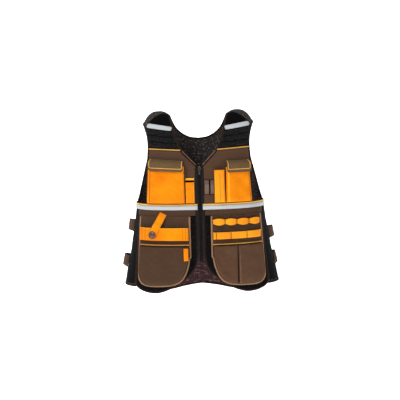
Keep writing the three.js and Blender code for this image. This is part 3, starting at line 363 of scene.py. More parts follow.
class Weave(Enum):
    """Fine surface structure of a finish."""

    CANVAS = "canvas"
    WEBBING = "webbing"
    MESH = "mesh"
    BEADED = "beaded"
    PLAIN = "plain"


@dataclass(frozen=True)
class Finish:
    """Look of one cloth or metal.

    Attributes:
        name: Name of the material.
        slot: Slot of the record that the finish belongs to; not used.
        colour: Screen colour as red, green and blue from 0 to 255.
        weave: Fine surface structure.
        rough: Roughness.
        relief: Height of the structure as a share of a common height.
        metal: Metalness.
        fade: How much lighter worn places are, from 0 to 1.
        sheen: Share of soft light that the fibres send back.
    """

    name: str
    slot: str
    colour: tuple[int, int, int]
    weave: Weave = Weave.CANVAS
    rough: float = 0.86
    relief: float = 1.0
    metal: float = 0.0
    fade: float = 0.3
    sheen: float = 0.03

    def linear(self, gain: float = 1.0) -> tuple[float, float, float, float]:
        """Linear colour for a shader socket, with a gain that acts less on red."""
        gains = (mix(1.0, gain, 0.45), gain, gain)
        parts = [min(max(part / 255 * more, 0), 1) for part, more in zip(self.colour, gains)]
        return (*((p / 12.92 if p <= 0.04045 else ((p + 0.055) / 1.055) ** 2.4) for p in parts), 1.0)


BROWN = Finish("brown canvas", "brown_canvas", (84, 61, 46))
POUCH_BROWN = Finish("pouch canvas", "brown_canvas", (76, 55, 41))
RED_BROWN = Finish("red brown canvas", "brown_canvas", (88, 62, 46))
# Painted highlight on the lit side of the cargo pocket's crease.
FOLD_HIGHLIGHT_BROWN = Finish("lit fold", "brown_canvas", (118, 88, 68))
FLAP_BROWN = Finish("flap canvas", "flap_canvas", (104, 82, 55), fade=0.4)
ORANGE = Finish("orange canvas", "orange_cloth", (250, 129, 8), fade=0.8)
SOFT_ORANGE = Finish("soft orange canvas", "orange_cloth", (255, 154, 30), fade=0.5)
# Pale orange: the pen tab's own colour and the pale rims, and painted highlight along the folds of the chest
# pockets and the tool sleeve.
PALE_ORANGE_AND_HIGHLIGHT = Finish("pale orange canvas", "orange_cloth", (255, 182, 58), fade=0.2)
# Deep orange: painted shade in folds, gussets and the gaps between pockets and loops.
ORANGE_PAINTED_SHADE = Finish("deep orange fold", "orange_cloth", (140, 68, 18), fade=0.1)
PIPING = Finish("piping", "amber_trim", (240, 178, 84), Weave.WEBBING, 0.7, 0.8, fade=0.2)
TAN = Finish("tan binding", "tan_binding", (156, 118, 86), Weave.WEBBING, 0.82, 0.8)
DARK_BINDING = Finish("dark binding", "dark_binding", (40, 28, 24), Weave.WEBBING, 0.88, 0.8, fade=0.2)
BLACK_MESH = Finish("black mesh", "black_mesh", (8, 8, 9), Weave.MESH, 0.9, 1.0, fade=0.15, sheen=0.012)
PAD_BLACK = Finish("pad mesh", "black_mesh", (15, 15, 15), Weave.MESH, 0.9, 0.8, fade=0.2, sheen=0.05)
BACK_MESH = Finish("back mesh", "black_mesh", (56, 37, 39), Weave.MESH, 0.9, 1.0, fade=0.3, sheen=0.04)
YOKE = Finish("yoke mesh", "black_mesh", (38, 37, 38), Weave.MESH, 0.9, 0.8, fade=0.3, sheen=0.03)
EDGING = Finish("waist edging", "amber_trim", (246, 192, 92), Weave.WEBBING, 0.7, 0.8, fade=0.2)
# Grey copy of the black mesh: painted highlight where the top of the shoulder is lit.
CREST_HIGHLIGHT_GREY = Finish("crest mesh", "black_mesh", (46, 42, 40), Weave.MESH, 0.9, 0.8, fade=0.3, sheen=0.02)
NECK_MESH = Finish("neck mesh", "black_mesh", (46, 43, 41), Weave.MESH, 0.9, 1.0, fade=0.3, sheen=0.02)
# Near black: painted shade in grooves, creases, pocket mouths and behind loops, and dark backing that fills
# gaps behind the zip and the chest piping.
PAINTED_SHADE_AND_BACKING = Finish("painted shade and dark backing", "black_mesh", (8, 8, 8), Weave.PLAIN, 0.95, 0.3, sheen=0.0)
SILVER = Finish(
    "reflective tape", "reflective_tape", (188, 193, 197), Weave.BEADED, 0.42, 0.5, fade=0.05, sheen=0.0
)
SIDE_WEB = Finish("side webbing", "strap_webbing", (80, 57, 44), Weave.WEBBING, 0.85, 1.4)
LOOP_WEB = Finish("loop webbing", "loop_webbing", (118, 97, 86), Weave.WEBBING, 0.85, 1.3)
THREAD = Finish("dark thread", "dark_binding", (70, 55, 45), Weave.PLAIN, 0.7, 0.2, fade=0.1)
ORANGE_THREAD = Finish("orange thread", "orange_cloth", (226, 122, 22), Weave.PLAIN, 0.7, 0.2, fade=0.1)
PALE_THREAD = Finish("pale thread", "tan_binding", (150, 124, 98), Weave.PLAIN, 0.7, 0.2, fade=0.1)
ZIP_BLACK = Finish("zip black", "zip_cloth", (30, 29, 30), Weave.PLAIN, 0.5, 0.3, fade=0.1, sheen=0.0)
METAL = Finish(
    "dull metal", "zip_metal", (96, 90, 84), Weave.PLAIN, 0.36, 0.3, metal=0.9, fade=0.1, sheen=0.0
)
PULL = Finish(
    "pull metal", "zip_metal", (64, 60, 58), Weave.PLAIN, 0.38, 0.2, metal=0.5, fade=0.1, sheen=0.0
)
SNAP = Finish(
    "snap metal", "zip_metal", (108, 84, 70), Weave.PLAIN, 0.34, 0.2, metal=0.75, fade=0.1, sheen=0.0
)


class Looks:
    """Materials, and the node groups that they share."""

    def __init__(self) -> None:
        """Build the shared groups."""
        self.made: dict[str, bpy.types.Material] = {}
        self.groups = {
            Weave.CANVAS: self.woven("Canvas weave", 0.0012, 0.0012, 0.35),
            Weave.WEBBING: self.woven("Webbing rib", 0.0021, 0.0011, 0.2),
            Weave.MESH: self.holes("Air mesh", 0.0028, 0.32, True),
            Weave.BEADED: self.holes("Beads", 0.0009, 0.5, False),
        }
        self.wear = self.worn()

    @staticmethod
    def group(name: str) -> tuple[bpy.types.NodeTree, bpy.types.Node, bpy.types.Node]:
        """Empty group that takes a place on the cloth and gives a height and a shade."""
        tree = bpy.data.node_groups.new(name, "ShaderNodeTree")
        tree.interface.new_socket("Place", in_out="INPUT", socket_type="NodeSocketVector")
        tree.interface.new_socket("Height", in_out="OUTPUT", socket_type="NodeSocketFloat")
        tree.interface.new_socket("Shade", in_out="OUTPUT", socket_type="NodeSocketFloat")
        return tree, tree.nodes.new("NodeGroupInput"), tree.nodes.new("NodeGroupOutput")

    @staticmethod
    def set_inputs(node: bpy.types.Node, values: dict[str, object]) -> None:
        """Give a node's unlinked sockets their values."""
        for name, value in values.items():
            node.inputs[name].default_value = value

    @staticmethod
    def maths(tree: bpy.types.NodeTree, kind: str, first: object, second: object) -> bpy.types.NodeSocket:
        """Result of a two-value maths node; values are sockets or plain numbers."""
        node = tree.nodes.new("ShaderNodeMath")
        node.operation = kind
        for socket, value in zip(node.inputs, (first, second)):
            if isinstance(value, (int, float)):
                socket.default_value = value
            else:
                tree.links.new(value, socket)
        return node.outputs[0]

    @staticmethod
    def noise(
        tree: bpy.types.NodeTree, place: bpy.types.NodeSocket, scale: float, detail: float
    ) -> bpy.types.NodeSocket:
        """Strength of a noise at a place."""
        noise = tree.nodes.new("ShaderNodeTexNoise")
        noise.inputs["Scale"].default_value = scale
        noise.inputs["Detail"].default_value = detail
        tree.links.new(place, noise.inputs["Vector"])
        return noise.outputs["Fac"]

    def woven(self, name: str, across: float, down: float, fibre: float) -> bpy.types.NodeTree:
        """Over-and-under weave.

        Args:
            name: Name of the group.
            across: Width of a warp thread in metres.
            down: Width of a weft thread in metres.
            fibre: Share of fine random fibre in the height.

        Returns:
            The group.
        """
        tree, enter, leave = self.group(name)
        split = tree.nodes.new("ShaderNodeSeparateXYZ")
        tree.links.new(enter.outputs[0], split.inputs[0])
        waves = []
        for socket, size in ((split.outputs[0], across), (split.outputs[1], down)):
            turn = self.maths(tree, "MULTIPLY", socket, math.pi / size)
            waves.append(self.maths(tree, "SINE", turn, 0.0))
        over = self.maths(tree, "MULTIPLY", waves[0], waves[1])
        height = self.maths(tree, "MULTIPLY", over, 0.5)
        rough = self.maths(tree, "MULTIPLY", self.noise(tree, enter.outputs[0], 900, 2), fibre)
        height = self.maths(tree, "ADD", height, rough)
        tree.links.new(height, leave.inputs["Height"])
        shade = self.maths(tree, "MULTIPLY", height, 0.22)
        tree.links.new(self.maths(tree, "ADD", shade, 0.9), leave.inputs["Shade"])
        return tree

    def holes(self, name: str, pitch: float, size: float, dark: bool) -> bpy.types.NodeTree:
        """Staggered small holes or beads.

        Args:
            name: Name of the group.
            pitch: Distance between them in metres.
            size: Radius as a share of the pitch.
            dark: Whether they are holes, which are darker and lie lower.

        Returns:
            The group.
        """
        tree, enter, leave = self.group(name)
        cells = tree.nodes.new("ShaderNodeTexVoronoi")
        cells.inputs["Scale"].default_value = 1 / pitch
        cells.inputs["Randomness"].default_value = 0.12
        tree.links.new(enter.outputs[0], cells.inputs["Vector"])
        ramp = tree.nodes.new("ShaderNodeMapRange")
        ramp.interpolation_type = "SMOOTHSTEP"
        low, high = (0.0, 1.0) if dark else (1.0, 0.0)
        bounds = {"From Min": size * 0.6, "From Max": size * 1.4, "To Min": low, "To Max": high}
        self.set_inputs(ramp, bounds)
        tree.links.new(cells.outputs["Distance"], ramp.inputs["Value"])
        tree.links.new(ramp.outputs["Result"], leave.inputs["Height"])
        shade = self.maths(tree, "MULTIPLY", ramp.outputs["Result"], 0.75 if dark else 0.06)
        shade = self.maths(tree, "ADD", shade, 0.45 if dark else 0.95)
        if dark:
            above = self.maths(tree, "SUBTRACT", self.noise(tree, enter.outputs[0], 165, 3), 0.52)
            spots = self.maths(tree, "MAXIMUM", above, 0.0)
            shade = self.maths(tree, "ADD", shade, self.maths(tree, "MULTIPLY", spots, 22.0))
        tree.links.new(shade, leave.inputs["Shade"])
        return tree

    def worn(self) -> bpy.types.NodeTree:
        """Soft wear in patches: a height of small creases and a shade around 0.5."""
        tree, enter, leave = self.group("Soft wear")
        for scale, detail, target in ((17.0, 4.0, "Shade"), (38.0, 3.0, "Height")):
            tree.links.new(self.noise(tree, enter.outputs[0], scale, detail), leave.inputs[target])
        return tree

    def material(self, finish: Finish) -> bpy.types.Material:
        """Material of a finish, made once."""
        if finish.name in self.made:
            return self.made[finish.name]
        made = bpy.data.materials.new(finish.name)
        made.use_nodes = True
        tree = made.node_tree
        shader = tree.nodes["Principled BSDF"]
        gloss = 0.5 if finish.metal else 0.05
        self.set_inputs(shader, {"Roughness": finish.rough, "Metallic": finish.metal})
        self.set_inputs(shader, {"Specular IOR Level": gloss})
        self.set_inputs(shader, {"Sheen Weight": finish.sheen, "Sheen Roughness": 0.6})
        spots = tree.nodes.new("ShaderNodeTexCoord")
        wear = tree.nodes.new("ShaderNodeGroup")
        wear.node_tree = self.wear
        tree.links.new(spots.outputs["Object"], wear.inputs["Place"])
        patches = tree.nodes.new("ShaderNodeMix")
        patches.data_type = "RGBA"
        patches.inputs["A"].default_value = finish.linear(1 - 0.34 * finish.fade)
        patches.inputs["B"].default_value = finish.linear(1 + 0.34 * finish.fade)
        tree.links.new(wear.outputs["Shade"], patches.inputs["Factor"])
        colour, height = patches.outputs["Result"], wear.outputs["Height"]
        bump = tree.nodes.new("ShaderNodeBump")
        bump.inputs["Strength"].default_value = 0.1 if finish.metal else 0.7
        bump.inputs["Distance"].default_value = 0.004
        tree.links.new(height, bump.inputs["Height"])
        normal = bump.outputs["Normal"]
        if finish.weave in self.groups:
            cloth = tree.nodes.new("ShaderNodeUVMap")
            cloth.uv_map = "cloth"
            weave = tree.nodes.new("ShaderNodeGroup")
            weave.node_tree = self.groups[finish.weave]
            tree.links.new(cloth.outputs["UV"], weave.inputs["Place"])
            shaded = tree.nodes.new("ShaderNodeMix")
            shaded.data_type = "RGBA"
            shaded.blend_type = "MULTIPLY"
            shaded.inputs["Factor"].default_value = 1.0
            tree.links.new(colour, shaded.inputs["A"])
            tree.links.new(weave.outputs["Shade"], shaded.inputs["B"])
            colour = shaded.outputs["Result"]
            fine = tree.nodes.new("ShaderNodeBump")
            fine.inputs["Strength"].default_value = 0.5
            fine.inputs["Distance"].default_value = 0.0004 * finish.relief
            tree.links.new(weave.outputs["Height"], fine.inputs["Height"])
            tree.links.new(normal, fine.inputs["Normal"])
            normal = fine.outputs["Normal"]
        tree.links.new(colour, shader.inputs["Base Color"])
        tree.links.new(normal, shader.inputs["Normal"])
        self.made[finish.name] = made
        return made


def resting() -> dict[str, tuple[str, ...]]:
    """What each cloth is sewn to or hangs from, by the names of the pieces."""
    rests = {
        "tool_loops": ("left_pouch_canvas",),
        "pen_pockets_cloth": ("left_pouch_canvas",),
        "band_pocket_cloth": ("right_pouch_canvas",),
        "hammer_strap_cloth": ("right_pouch_canvas", "band_pocket_cloth"),
        "label_tab_cloth": ("right_cargo_canvas",),
    }
    # The pen slot's dark sheet is painted shade in the sleeve's mouth.
    for name in ("pen_sleeve_cloth", "pen_slot", "pen_tab_cloth"):
        rests[name] = ("right_chest_canvas",)
    # The loop shade is a sheet of painted shade behind the webbing loops.
    for name in ("tool_sleeve_cloth", "loop_shade", "inner_web_loop_tape", "outer_web_loop_tape"):
        rests[name] = ("left_chest_canvas",)
    for side in ("right", "left"):
        # The crest's grey sheet is painted highlight and its black sheet painted shade.
        rests[f"{side}_crest_mesh"] = (f"{side}_ribbed_pad",)
        rests[f"{side}_crest_shade"] = (f"{side}_ribbed_pad", f"{side}_crest_mesh")
        rests[f"{side}_pocket_cloth"] = (f"{side}_chest_canvas",)
        rests[f"{side}_flap_canvas"] = (f"{side}_chest_canvas", f"{side}_pocket_cloth")
        rests[f"{side}_waist_canvas"] = (f"{side}_skirt_mesh",)
        rests[f"{side}_pouch_canvas"] = (f"{side}_skirt_mesh",)
        rests[f"{side}_cargo_canvas"] = (f"{side}_pouch_canvas",)
    return rests


RESTS = resting()

# Mesh making


@dataclass
class Maker:
    """Turns mapped grids and swept sections into pieces of the scene."""

    looks: Looks
    threads: dict[str, list[np.ndarray]] = field(default_factory=dict)

    @staticmethod
    def blank() -> bmesh.types.BMesh:
        """Empty mesh with a layer for the cloth's flat map."""
        mesh = bmesh.new()
        mesh.loops.layers.uv.new("cloth")
        return mesh

    @staticmethod
    def outward(points: np.ndarray) -> np.ndarray:
        """Rough outward direction of points on the vest."""
        away = points.copy()
        away[..., 0] *= 0.4
        away[..., 2] = np.maximum(points[..., 2] + FORM.arch_drop, 0)
        return away

    def add(
        self, name: str, mesh: bmesh.types.BMesh, finish: Finish, nodes: Sequence[str]
    ) -> bpy.types.Object:
        """Finish a mesh given in millimetres as a piece that stands for CAD nodes.

        Args:
            name: Name of the piece; spaces become low lines.
            mesh: The mesh, which is used up.
            finish: Look.
            nodes: CAD nodes that it stands for.

        Returns:
            The piece.
        """
        name = name.replace(" ", "_")
        bmesh.ops.scale(mesh, vec=(MM, MM, MM), verts=mesh.verts)
        for face in mesh.faces:
            face.smooth = True
        data = bpy.data.meshes.new(name)
        mesh.to_mesh(data)
        mesh.free()
        data.materials.append(self.looks.material(finish))
        piece = bpy.data.objects.new(name, data)
        bpy.context.scene.collection.objects.link(piece)
        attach(piece, "root")
        if nodes:
            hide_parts(*nodes)
        LOG.info("%s: %d faces", name, len(data.polygons))
        return piece

    def grid(self, columns: int, rows: int, points: np.ndarray) -> bmesh.types.BMesh:
        """Grid through points, with the cloth's own lengths as its flat map.

        Args:
            columns: Faces from side to side.
            rows: Faces from bottom to top.
            points: Array of rows + 1 by columns + 1 points in millimetres.

        Returns:
            The mesh, with its faces outward.
        """
        mesh = bmesh.new()
        bmesh.ops.create_grid(mesh, x_segments=columns, y_segments=rows, size=0.5)
        flat = mesh.loops.layers.uv.new("cloth")
        wide = np.linalg.norm(np.diff(points, axis=1), axis=2).sum(axis=1).mean() * MM
        tall = np.linalg.norm(np.diff(points, axis=0), axis=2).sum(axis=0).mean() * MM
        places = np.array([vert.co[:2] for vert in mesh.verts]) + 0.5
        index = np.rint(places * (columns, rows)).astype(int)
        for face in mesh.faces:
            for loop in face.loops:
                u, v = places[loop.vert.index]
                loop[flat].uv = (u * wide, v * tall)
        for vert, (i, j) in zip(mesh.verts, index):
            vert.co = Vector(points[j, i])
        self.turn_out(mesh)
        return mesh

    def turn_out(self, mesh: bmesh.types.BMesh) -> None:
        """Turn an open sheet's faces away from the wearer."""
        mesh.normal_update()
        middles = np.array([face.calc_center_median() for face in mesh.faces])
        normals = np.array([face.normal * face.calc_area() for face in mesh.faces])
        if (normals * self.outward(middles)).sum() < 0:
            bmesh.ops.reverse_faces(mesh, faces=mesh.faces)

    def cloth(
        self,
        name: str,
        size: tuple[int, int],
        place: Mapper,
        thick: float,
        finish: Finish,
        nodes: Sequence[str],
        held: str = "stretched",
        rests_on: Sequence[str] = (),
        inner: Finish | None = None,
    ) -> bpy.types.Object:
        """Cloth sheet mapped from shares across and up.

        Args:
            name: Name of the piece.
            size: Faces across and up.
            place: Outer surface in millimetres for shares across and up.
            thick: Thickness in millimetres, which grows inward.
            finish: Look.
            nodes: CAD nodes that it stands for.
            held: How the cloth is held; not used.
            rests_on: CAD nodes or pieces that it lies on; not used.
            inner: Look of the inner face, where it differs.

        Returns:
            The piece.
        """
        columns, rows = size
        across, up = np.meshgrid(np.linspace(0, 1, columns + 1), np.linspace(0, 1, rows + 1))
        points = place(across, up)
        mesh = self.grid(columns, rows, points)
        area = sum(face.calc_area() for face in mesh.faces) * MM * MM
        wide = np.linalg.norm(np.diff(points, axis=1), axis=2).sum(axis=1).max() * MM
        piece = self.add(name, mesh, finish, nodes)
        rests_on = rests_on or RESTS.get(piece.name, ())
        shell = piece.modifiers.new("Thickness", "SOLIDIFY")
        shell.thickness = thick * MM
        shell.offset = -1
        if inner:
            piece.data.materials.append(self.looks.material(inner))
            shell.material_offset = 1
        size = (max(wide, 0.01), max(area / wide, 0.01))
        return piece

    def sweep(
        self,
        name: str,
        path: np.ndarray,
        normals: np.ndarray,
        section: Sequence[tuple[float, float]],
        finish: Finish,
        nodes: Sequence[str],
        scale: np.ndarray | None = None,
        declare: bool = True,
    ) -> bpy.types.Object:
        """Closed section swept along a path, such as a binding or a piping.

        Args:
            name: Name of the piece.
            path: Points in millimetres.
            normals: Outward normals along the path.
            section: Places across to the right of the path and out of the cloth, in turn round it.
            finish: Look.
            nodes: CAD nodes that it stands for.
            scale: Share of the section's width along the path.
            declare: Whether to state it as a cloth of its own; not used.

        Returns:
            The piece.
        """
        ahead = np.gradient(path, axis=0)
        ahead /= np.maximum(np.linalg.norm(ahead, axis=1, keepdims=True), 1e-9)
        right = np.cross(ahead, normals)
        right /= np.maximum(np.linalg.norm(right, axis=1, keepdims=True), 1e-9)
        lengths = travelled(path) * MM
        widths = np.ones(len(path)) if scale is None else scale
        ring = np.array(section)
        girth = travelled(ring[[*range(len(ring)), 0]])
        mesh = bmesh.new()
        flat = mesh.loops.layers.uv.new("cloth")
        rows = []
        for k, point in enumerate(path):
            spots = point + right[k] * ring[:, :1] * widths[k] + normals[k] * ring[:, 1:]
            rows.append([mesh.verts.new(Vector(spot)) for spot in spots])
        count = len(ring)
        for k, (low, high) in enumerate(zip(rows, rows[1:])):
            for n in range(count):
                after = (n + 1) % count
                face = mesh.faces.new((low[n], low[after], high[after], high[n]))
                marks = ((k, n), (k, n + 1), (k + 1, n + 1), (k + 1, n))
                for loop, (a, b) in zip(face.loops, marks):
                    loop[flat].uv = (lengths[a], girth[b] * MM)
        for ends in (rows[0], rows[-1]):
            mesh.faces.new(ends)
        bmesh.ops.recalc_face_normals(mesh, faces=mesh.faces)
        area = sum(face.calc_area() for face in mesh.faces) * MM * MM / 2
        piece = self.add(name, mesh, finish, nodes)
        return piece


# Sections for sweeps, in millimetres


def band_section(width: float, low: float, high: float, sign: float) -> list[tuple[float, float]]:
    """Folded binding that closes an edge, from the edge inwards.

    Args:
        width: How far it reaches over the cloth.
        low: Level of its inner side.
        high: Level of its outer side.
        sign: 1 where the cloth lies to the right of the path, -1 to the left.

    Returns:
        Places of the section, in turn round it.
    """
    bulge = high + 0.25
    return [
        (0.0, mix(low, high, 0.5)),
        (sign * width * 0.06, mix(low, high, 0.85)),
        (sign * width * 0.22, bulge),
        (sign * width * 0.7, bulge),
        (sign * width * 0.93, high - 0.15),
        (sign * width, high - 0.7),
        (sign * width, low),
        (sign * width * 0.2, low),
    ]


def cord_section(width: float, thick: float, level: float = 0.0) -> list[tuple[float, float]]:
    """Rounded piping over a level."""
    turns = np.linspace(0, math.pi, 7)
    return [(-math.cos(t) * width / 2, level + math.sin(t) * thick) for t in turns]


def tape_section(width: float, level: float, thick: float) -> list[tuple[float, float]]:
    """Flat tape with soft edges."""
    half = width / 2
    return [
        (-half, level), (-half, level + thick * 0.6), (-half + 0.6, level + thick),
        (half - 0.6, level + thick), (half, level + thick * 0.6), (half, level),
    ]  # fmt: skip


def bumps(value: Shares, at: float, width: float) -> Shares:
    """Rounded bump of height 1 around a place."""
    return np.exp(-(((value - at) / width) ** 2))


def folds(u: Shares, v: Shares, seed: float, size: float) -> Shares:
    """Soft irregular folds of pulled cloth, in millimetres."""
    waves = np.sin(7.1 * u + 3.3 * v + seed) * np.sin(4.3 * v - 2.1 * u + seed * 1.7)
    small = 0.45 * np.sin(15 * u - 9 * v + seed * 2.3) * np.sin(11 * v + seed)
    return size * (waves + small)


@dataclass
class PieceKit:
    """Shared tools of the sub-assemblies."""

    maker: Maker

    def path(self, sign: float, angle: Shares, run: Shares, lift: Shares | float = 0.0) -> Spots:
        """Points and normals of a path on the form."""
        angle = np.asarray(angle, float) * sign
        run = np.asarray(run, float)
        normals = FORM.normal(angle, run)
        return FORM.point(angle, run) + normals * np.broadcast_to(lift, run.shape)[..., None], normals

    def mirrored(self, angles: Shares, runs: Shares) -> Spots:
        """Path on the wearer's right to its last place, and back along the same path on the left."""
        right, left = self.path(-1, angles, runs), self.path(1, angles[:-1], runs[:-1])
        points, normals = (np.concatenate([right[k], left[k][::-1]]) for k in (0, 1))
        return points, normals

    def front_path(self, sign: float, x: Shares, drop: Shares, lift: Shares | float = 0.0) -> Spots:
        """The same for distances from the centre and drops on the front."""
        angle, run = FORM.place(x, drop)
        return self.path(sign, angle, run, lift)

    def stitch(
        self, key: str, points: np.ndarray, normals: np.ndarray, step: float = 3.4, wide: float = 0.55
    ) -> None:
        """Lay a row of short stitches along a path.

        Args:
            key: Which thread the stitches belong to.
            points: Path in millimetres.
            normals: Outward normals along it.
            step: Length of a stitch with its gap.
            wide: Width of the thread.
        """
        lengths = travelled(points)
        count = int(lengths[-1] / step)
        for k in range(count):
            ends = (k * step + 0.15 * step, k * step + 0.8 * step)
            places = [np.array([np.interp(e, lengths, points[:, n]) for n in range(3)]) for e in ends]
            normal = np.array([np.interp(ends[0], lengths, normals[:, n]) for n in range(3)])
            ahead = places[1] - places[0]
            side = np.cross(ahead, normal)
            side *= wide / 2 / max(float(np.linalg.norm(side)), 1e-9)
            ridge = (places[0] + places[1]) / 2 + normal * wide * 0.8
            first, last = (place * 0.3 + ridge * 0.7 for place in places)
            corners = [places[0], first + side, last + side, places[1], last - side, first - side]
            self.maker.threads.setdefault(key, []).append(np.array(corners))

    def line(
        self, name: str, spots: Spots, section: Section, finish: Finish, scale: Shares | None = None
    ) -> None:
        """Lay a line over the cloth that is too narrow to be a cloth of its own."""
        self.maker.sweep(name, *spots, section, finish, (), scale, False)

    def line_stitches(
        self, key: str, sign: float, xs: Sequence[float], drops: Sequence[float], lift: float
    ) -> None:
        """Stitches along a line on the front through a few places.

        Args:
            key: Which thread the stitches belong to.
            sign: Sign of the side, 1 to the wearer's left.
            xs: Distances of the places from the centre.
            drops: Drops of the places.
            lift: Height over the form.
        """
        share = np.linspace(0, len(xs) - 1, 40)
        x = np.interp(share, range(len(xs)), xs)
        drop = np.interp(share, range(len(drops)), drops)
        self.stitch(key, *self.front_path(sign, x, drop, lift))

    def lay_threads(self, finishes: dict[str, Finish]) -> None:
        """Turn the collected stitches into one piece for each thread."""
        for key, all_corners in self.maker.threads.items():
            mesh = Maker.blank()
            for corners in all_corners:
                spots = [mesh.verts.new(Vector(corner)) for corner in corners]
                mesh.faces.new(spots)
            for face in mesh.faces:
                face.normal_update()
                if face.normal.dot(Vector(self.maker.outward(np.array(face.calc_center_median())))) < 0:
                    face.normal_flip()
            self.maker.add(f"{key} stitches", mesh, finishes[key], ())


# Sub-assemblies


@dataclass
class Body(PieceKit):
    """Chest, skirt, back and shoulders."""

    cloth: float = 2.0
    mesh_cloth: float = 2.4
    waist_seam: float = 312.5
    rib_bottom: float = 119.4
    rib_top: float = 62.75
    rib_height: float = 4.6
    rib_share: float = 0.56
    rib_slope: float = 7.5
    seam_inner: float = 14.0
    seam_outer: float = 34.0
    yoke_share: float = 0.42
    yoke_arm_run: float = 128.0

    def chest(self, side: Side) -> None:
        """Brown chest panel from the piping down to the waist."""

        def place(u: Shares, v: Shares) -> np.ndarray:
            """Spots on the panel, which follows the neck, the arm and the piping."""
            top = mix(150.0, 124.6, ease(0.55, 1.0, v))
            drop = mix(self.waist_seam, top, v**0.9)
            inner = np.maximum(
                np.where(drop < FORM.neck_drop, FORM.inside(FORM.neck_edge, drop, 1), 0),
                FORM.zip_half_width + FORM.inset,
            )
            outer = FORM.inside(FORM.arm_edge, np.minimum(drop, FORM.underarm_drop), -1)
            from_angle = FORM.angle_at(inner, np.maximum(drop, FORM.arch_drop))
            to_angle = FORM.angle_at(outer, np.maximum(drop, FORM.arch_drop))
            side_angle = np.where(drop > FORM.underarm_drop, FORM.seam_angle(drop), to_angle)
            angle = mix(from_angle, side_angle, u)
            x = FORM.point(angle, np.full_like(angle, FORM.arch_drop))[..., 0]
            fall = FORM.piping_fall(x) * ease(0.6, 1.0, v)
            _, run = FORM.place(x, np.minimum(drop + fall, FORM.arch_drop))
            run = np.where(drop + fall < FORM.arch_drop, run, drop + fall)
            seed = 0.6 if side is Side.LEFT else 2.2
            lift = folds(u * 1.4, v, seed, 0.5) * ease(0, 0.15, v) * ease(1, 0.8, v)
            return FORM.lifted(angle * side.value, run, lift)

        self.maker.cloth(
            f"{side.word} chest canvas", (44, 60), place, self.cloth, BROWN, [f"{side.word}_chest_panel"]
        )
        low = FORM.piping_top + FORM.piping_slant
        x = np.linspace(FORM.neck_edge(np.array(low)) + 7, FORM.arm_edge(np.array(low - 3)) - 7, 50)
        self.stitch("brown", *self.front_path(side.value, x, FORM.piping_drop(x) + 5.5, 0.25))
        drops = np.linspace(134, 172, 40)
        self.stitch("brown", *self.front_path(side.value, FORM.neck_edge(drops) + 10.5, drops, 0.2))
        drops = np.linspace(130, 296, 60)
        self.stitch("brown", *self.front_path(side.value, FORM.arm_edge(drops) - 9.5, drops, 0.2))

    def skirt(self, side: Side) -> None:
        """Black mesh below the waist band."""

        def place(u: Shares, v: Shares) -> np.ndarray:
            """Spots on the mesh, which follows the hem, the zip and the side seam."""
            hem_x, hem_drop = FORM.hem_edge(u)
            before, after = FORM.hem_edge(np.maximum(u - 0.02, 0)), FORM.hem_edge(np.minimum(u + 0.02, 1))
            across, down = after[0] - before[0], after[1] - before[1]
            span = np.hypot(across, down)
            low_x = hem_x + FORM.inset * down / span
            low_drop = hem_drop - FORM.inset * across / span
            low_angle = FORM.angle_at(low_x, low_drop)
            least = np.maximum(low_angle, FORM.seam_angle(low_drop) - 0.3)
            low_angle = np.where(u > 0.985, least, low_angle)
            top = self.waist_seam + 0.6
            zip_angle = FORM.angle_at(FORM.zip_half_width + FORM.inset, top)
            top_angle = mix(zip_angle, FORM.seam_angle(np.array(top)) - 0.3, u)
            angle = mix(low_angle, top_angle, v)
            run = mix(low_drop, top, v)
            straight = FORM.angle_at(np.full_like(run, FORM.zip_half_width + FORM.inset), run)
            angle = mix(angle, np.minimum(angle, straight), ease(0.06, 0.0, u) * ease(0.0, 0.2, v))
            angle = mix(angle, FORM.seam_angle(run) - 0.3, ease(0.96, 1.0, u))
            lift = folds(u * 2, v * 1.5, 1.1 * side.value, 0.7) * ease(0, 0.1, v) * ease(1, 0.9, v) - 0.2
            return FORM.lifted(angle * side.value, run, lift)

        name, node = f"{side.word} skirt mesh", f"{side.word}_skirt_panel"
        self.maker.cloth(name, (56, 44), place, self.mesh_cloth, BLACK_MESH, [node])

    def strip(self, side: Side) -> None:
        """Brown strip between the waist band and the pouch."""

        def place(u: Shares, v: Shares) -> np.ndarray:
            """Spots on the strip."""
            lift = 2.0 + folds(u * 3, v, side.value, 0.12)
            return FORM.over(side.value, mix(15.5, 203.0, u), mix(341.0, 322.5, v), lift)

        self.maker.cloth(f"{side.word} waist canvas", (48, 8), place, 1.0, POUCH_BROWN, ())
        x = np.linspace(17, 201, 60)
        self.stitch("brown", *self.front_path(side.value, x, np.full_like(x, 325.0), 2.3))

    def shoulder_seam(self, u: Shares) -> Pair:
        """Place on the seam in front of the crest."""
        inner = FORM.angle_at(FORM.strap_inner + FORM.inset, FORM.arch_drop)
        outer = FORM.angle_at(FORM.strap_outer - FORM.inset, FORM.arch_drop)
        return mix(inner, outer, u), mix(self.seam_inner, self.seam_outer, u)

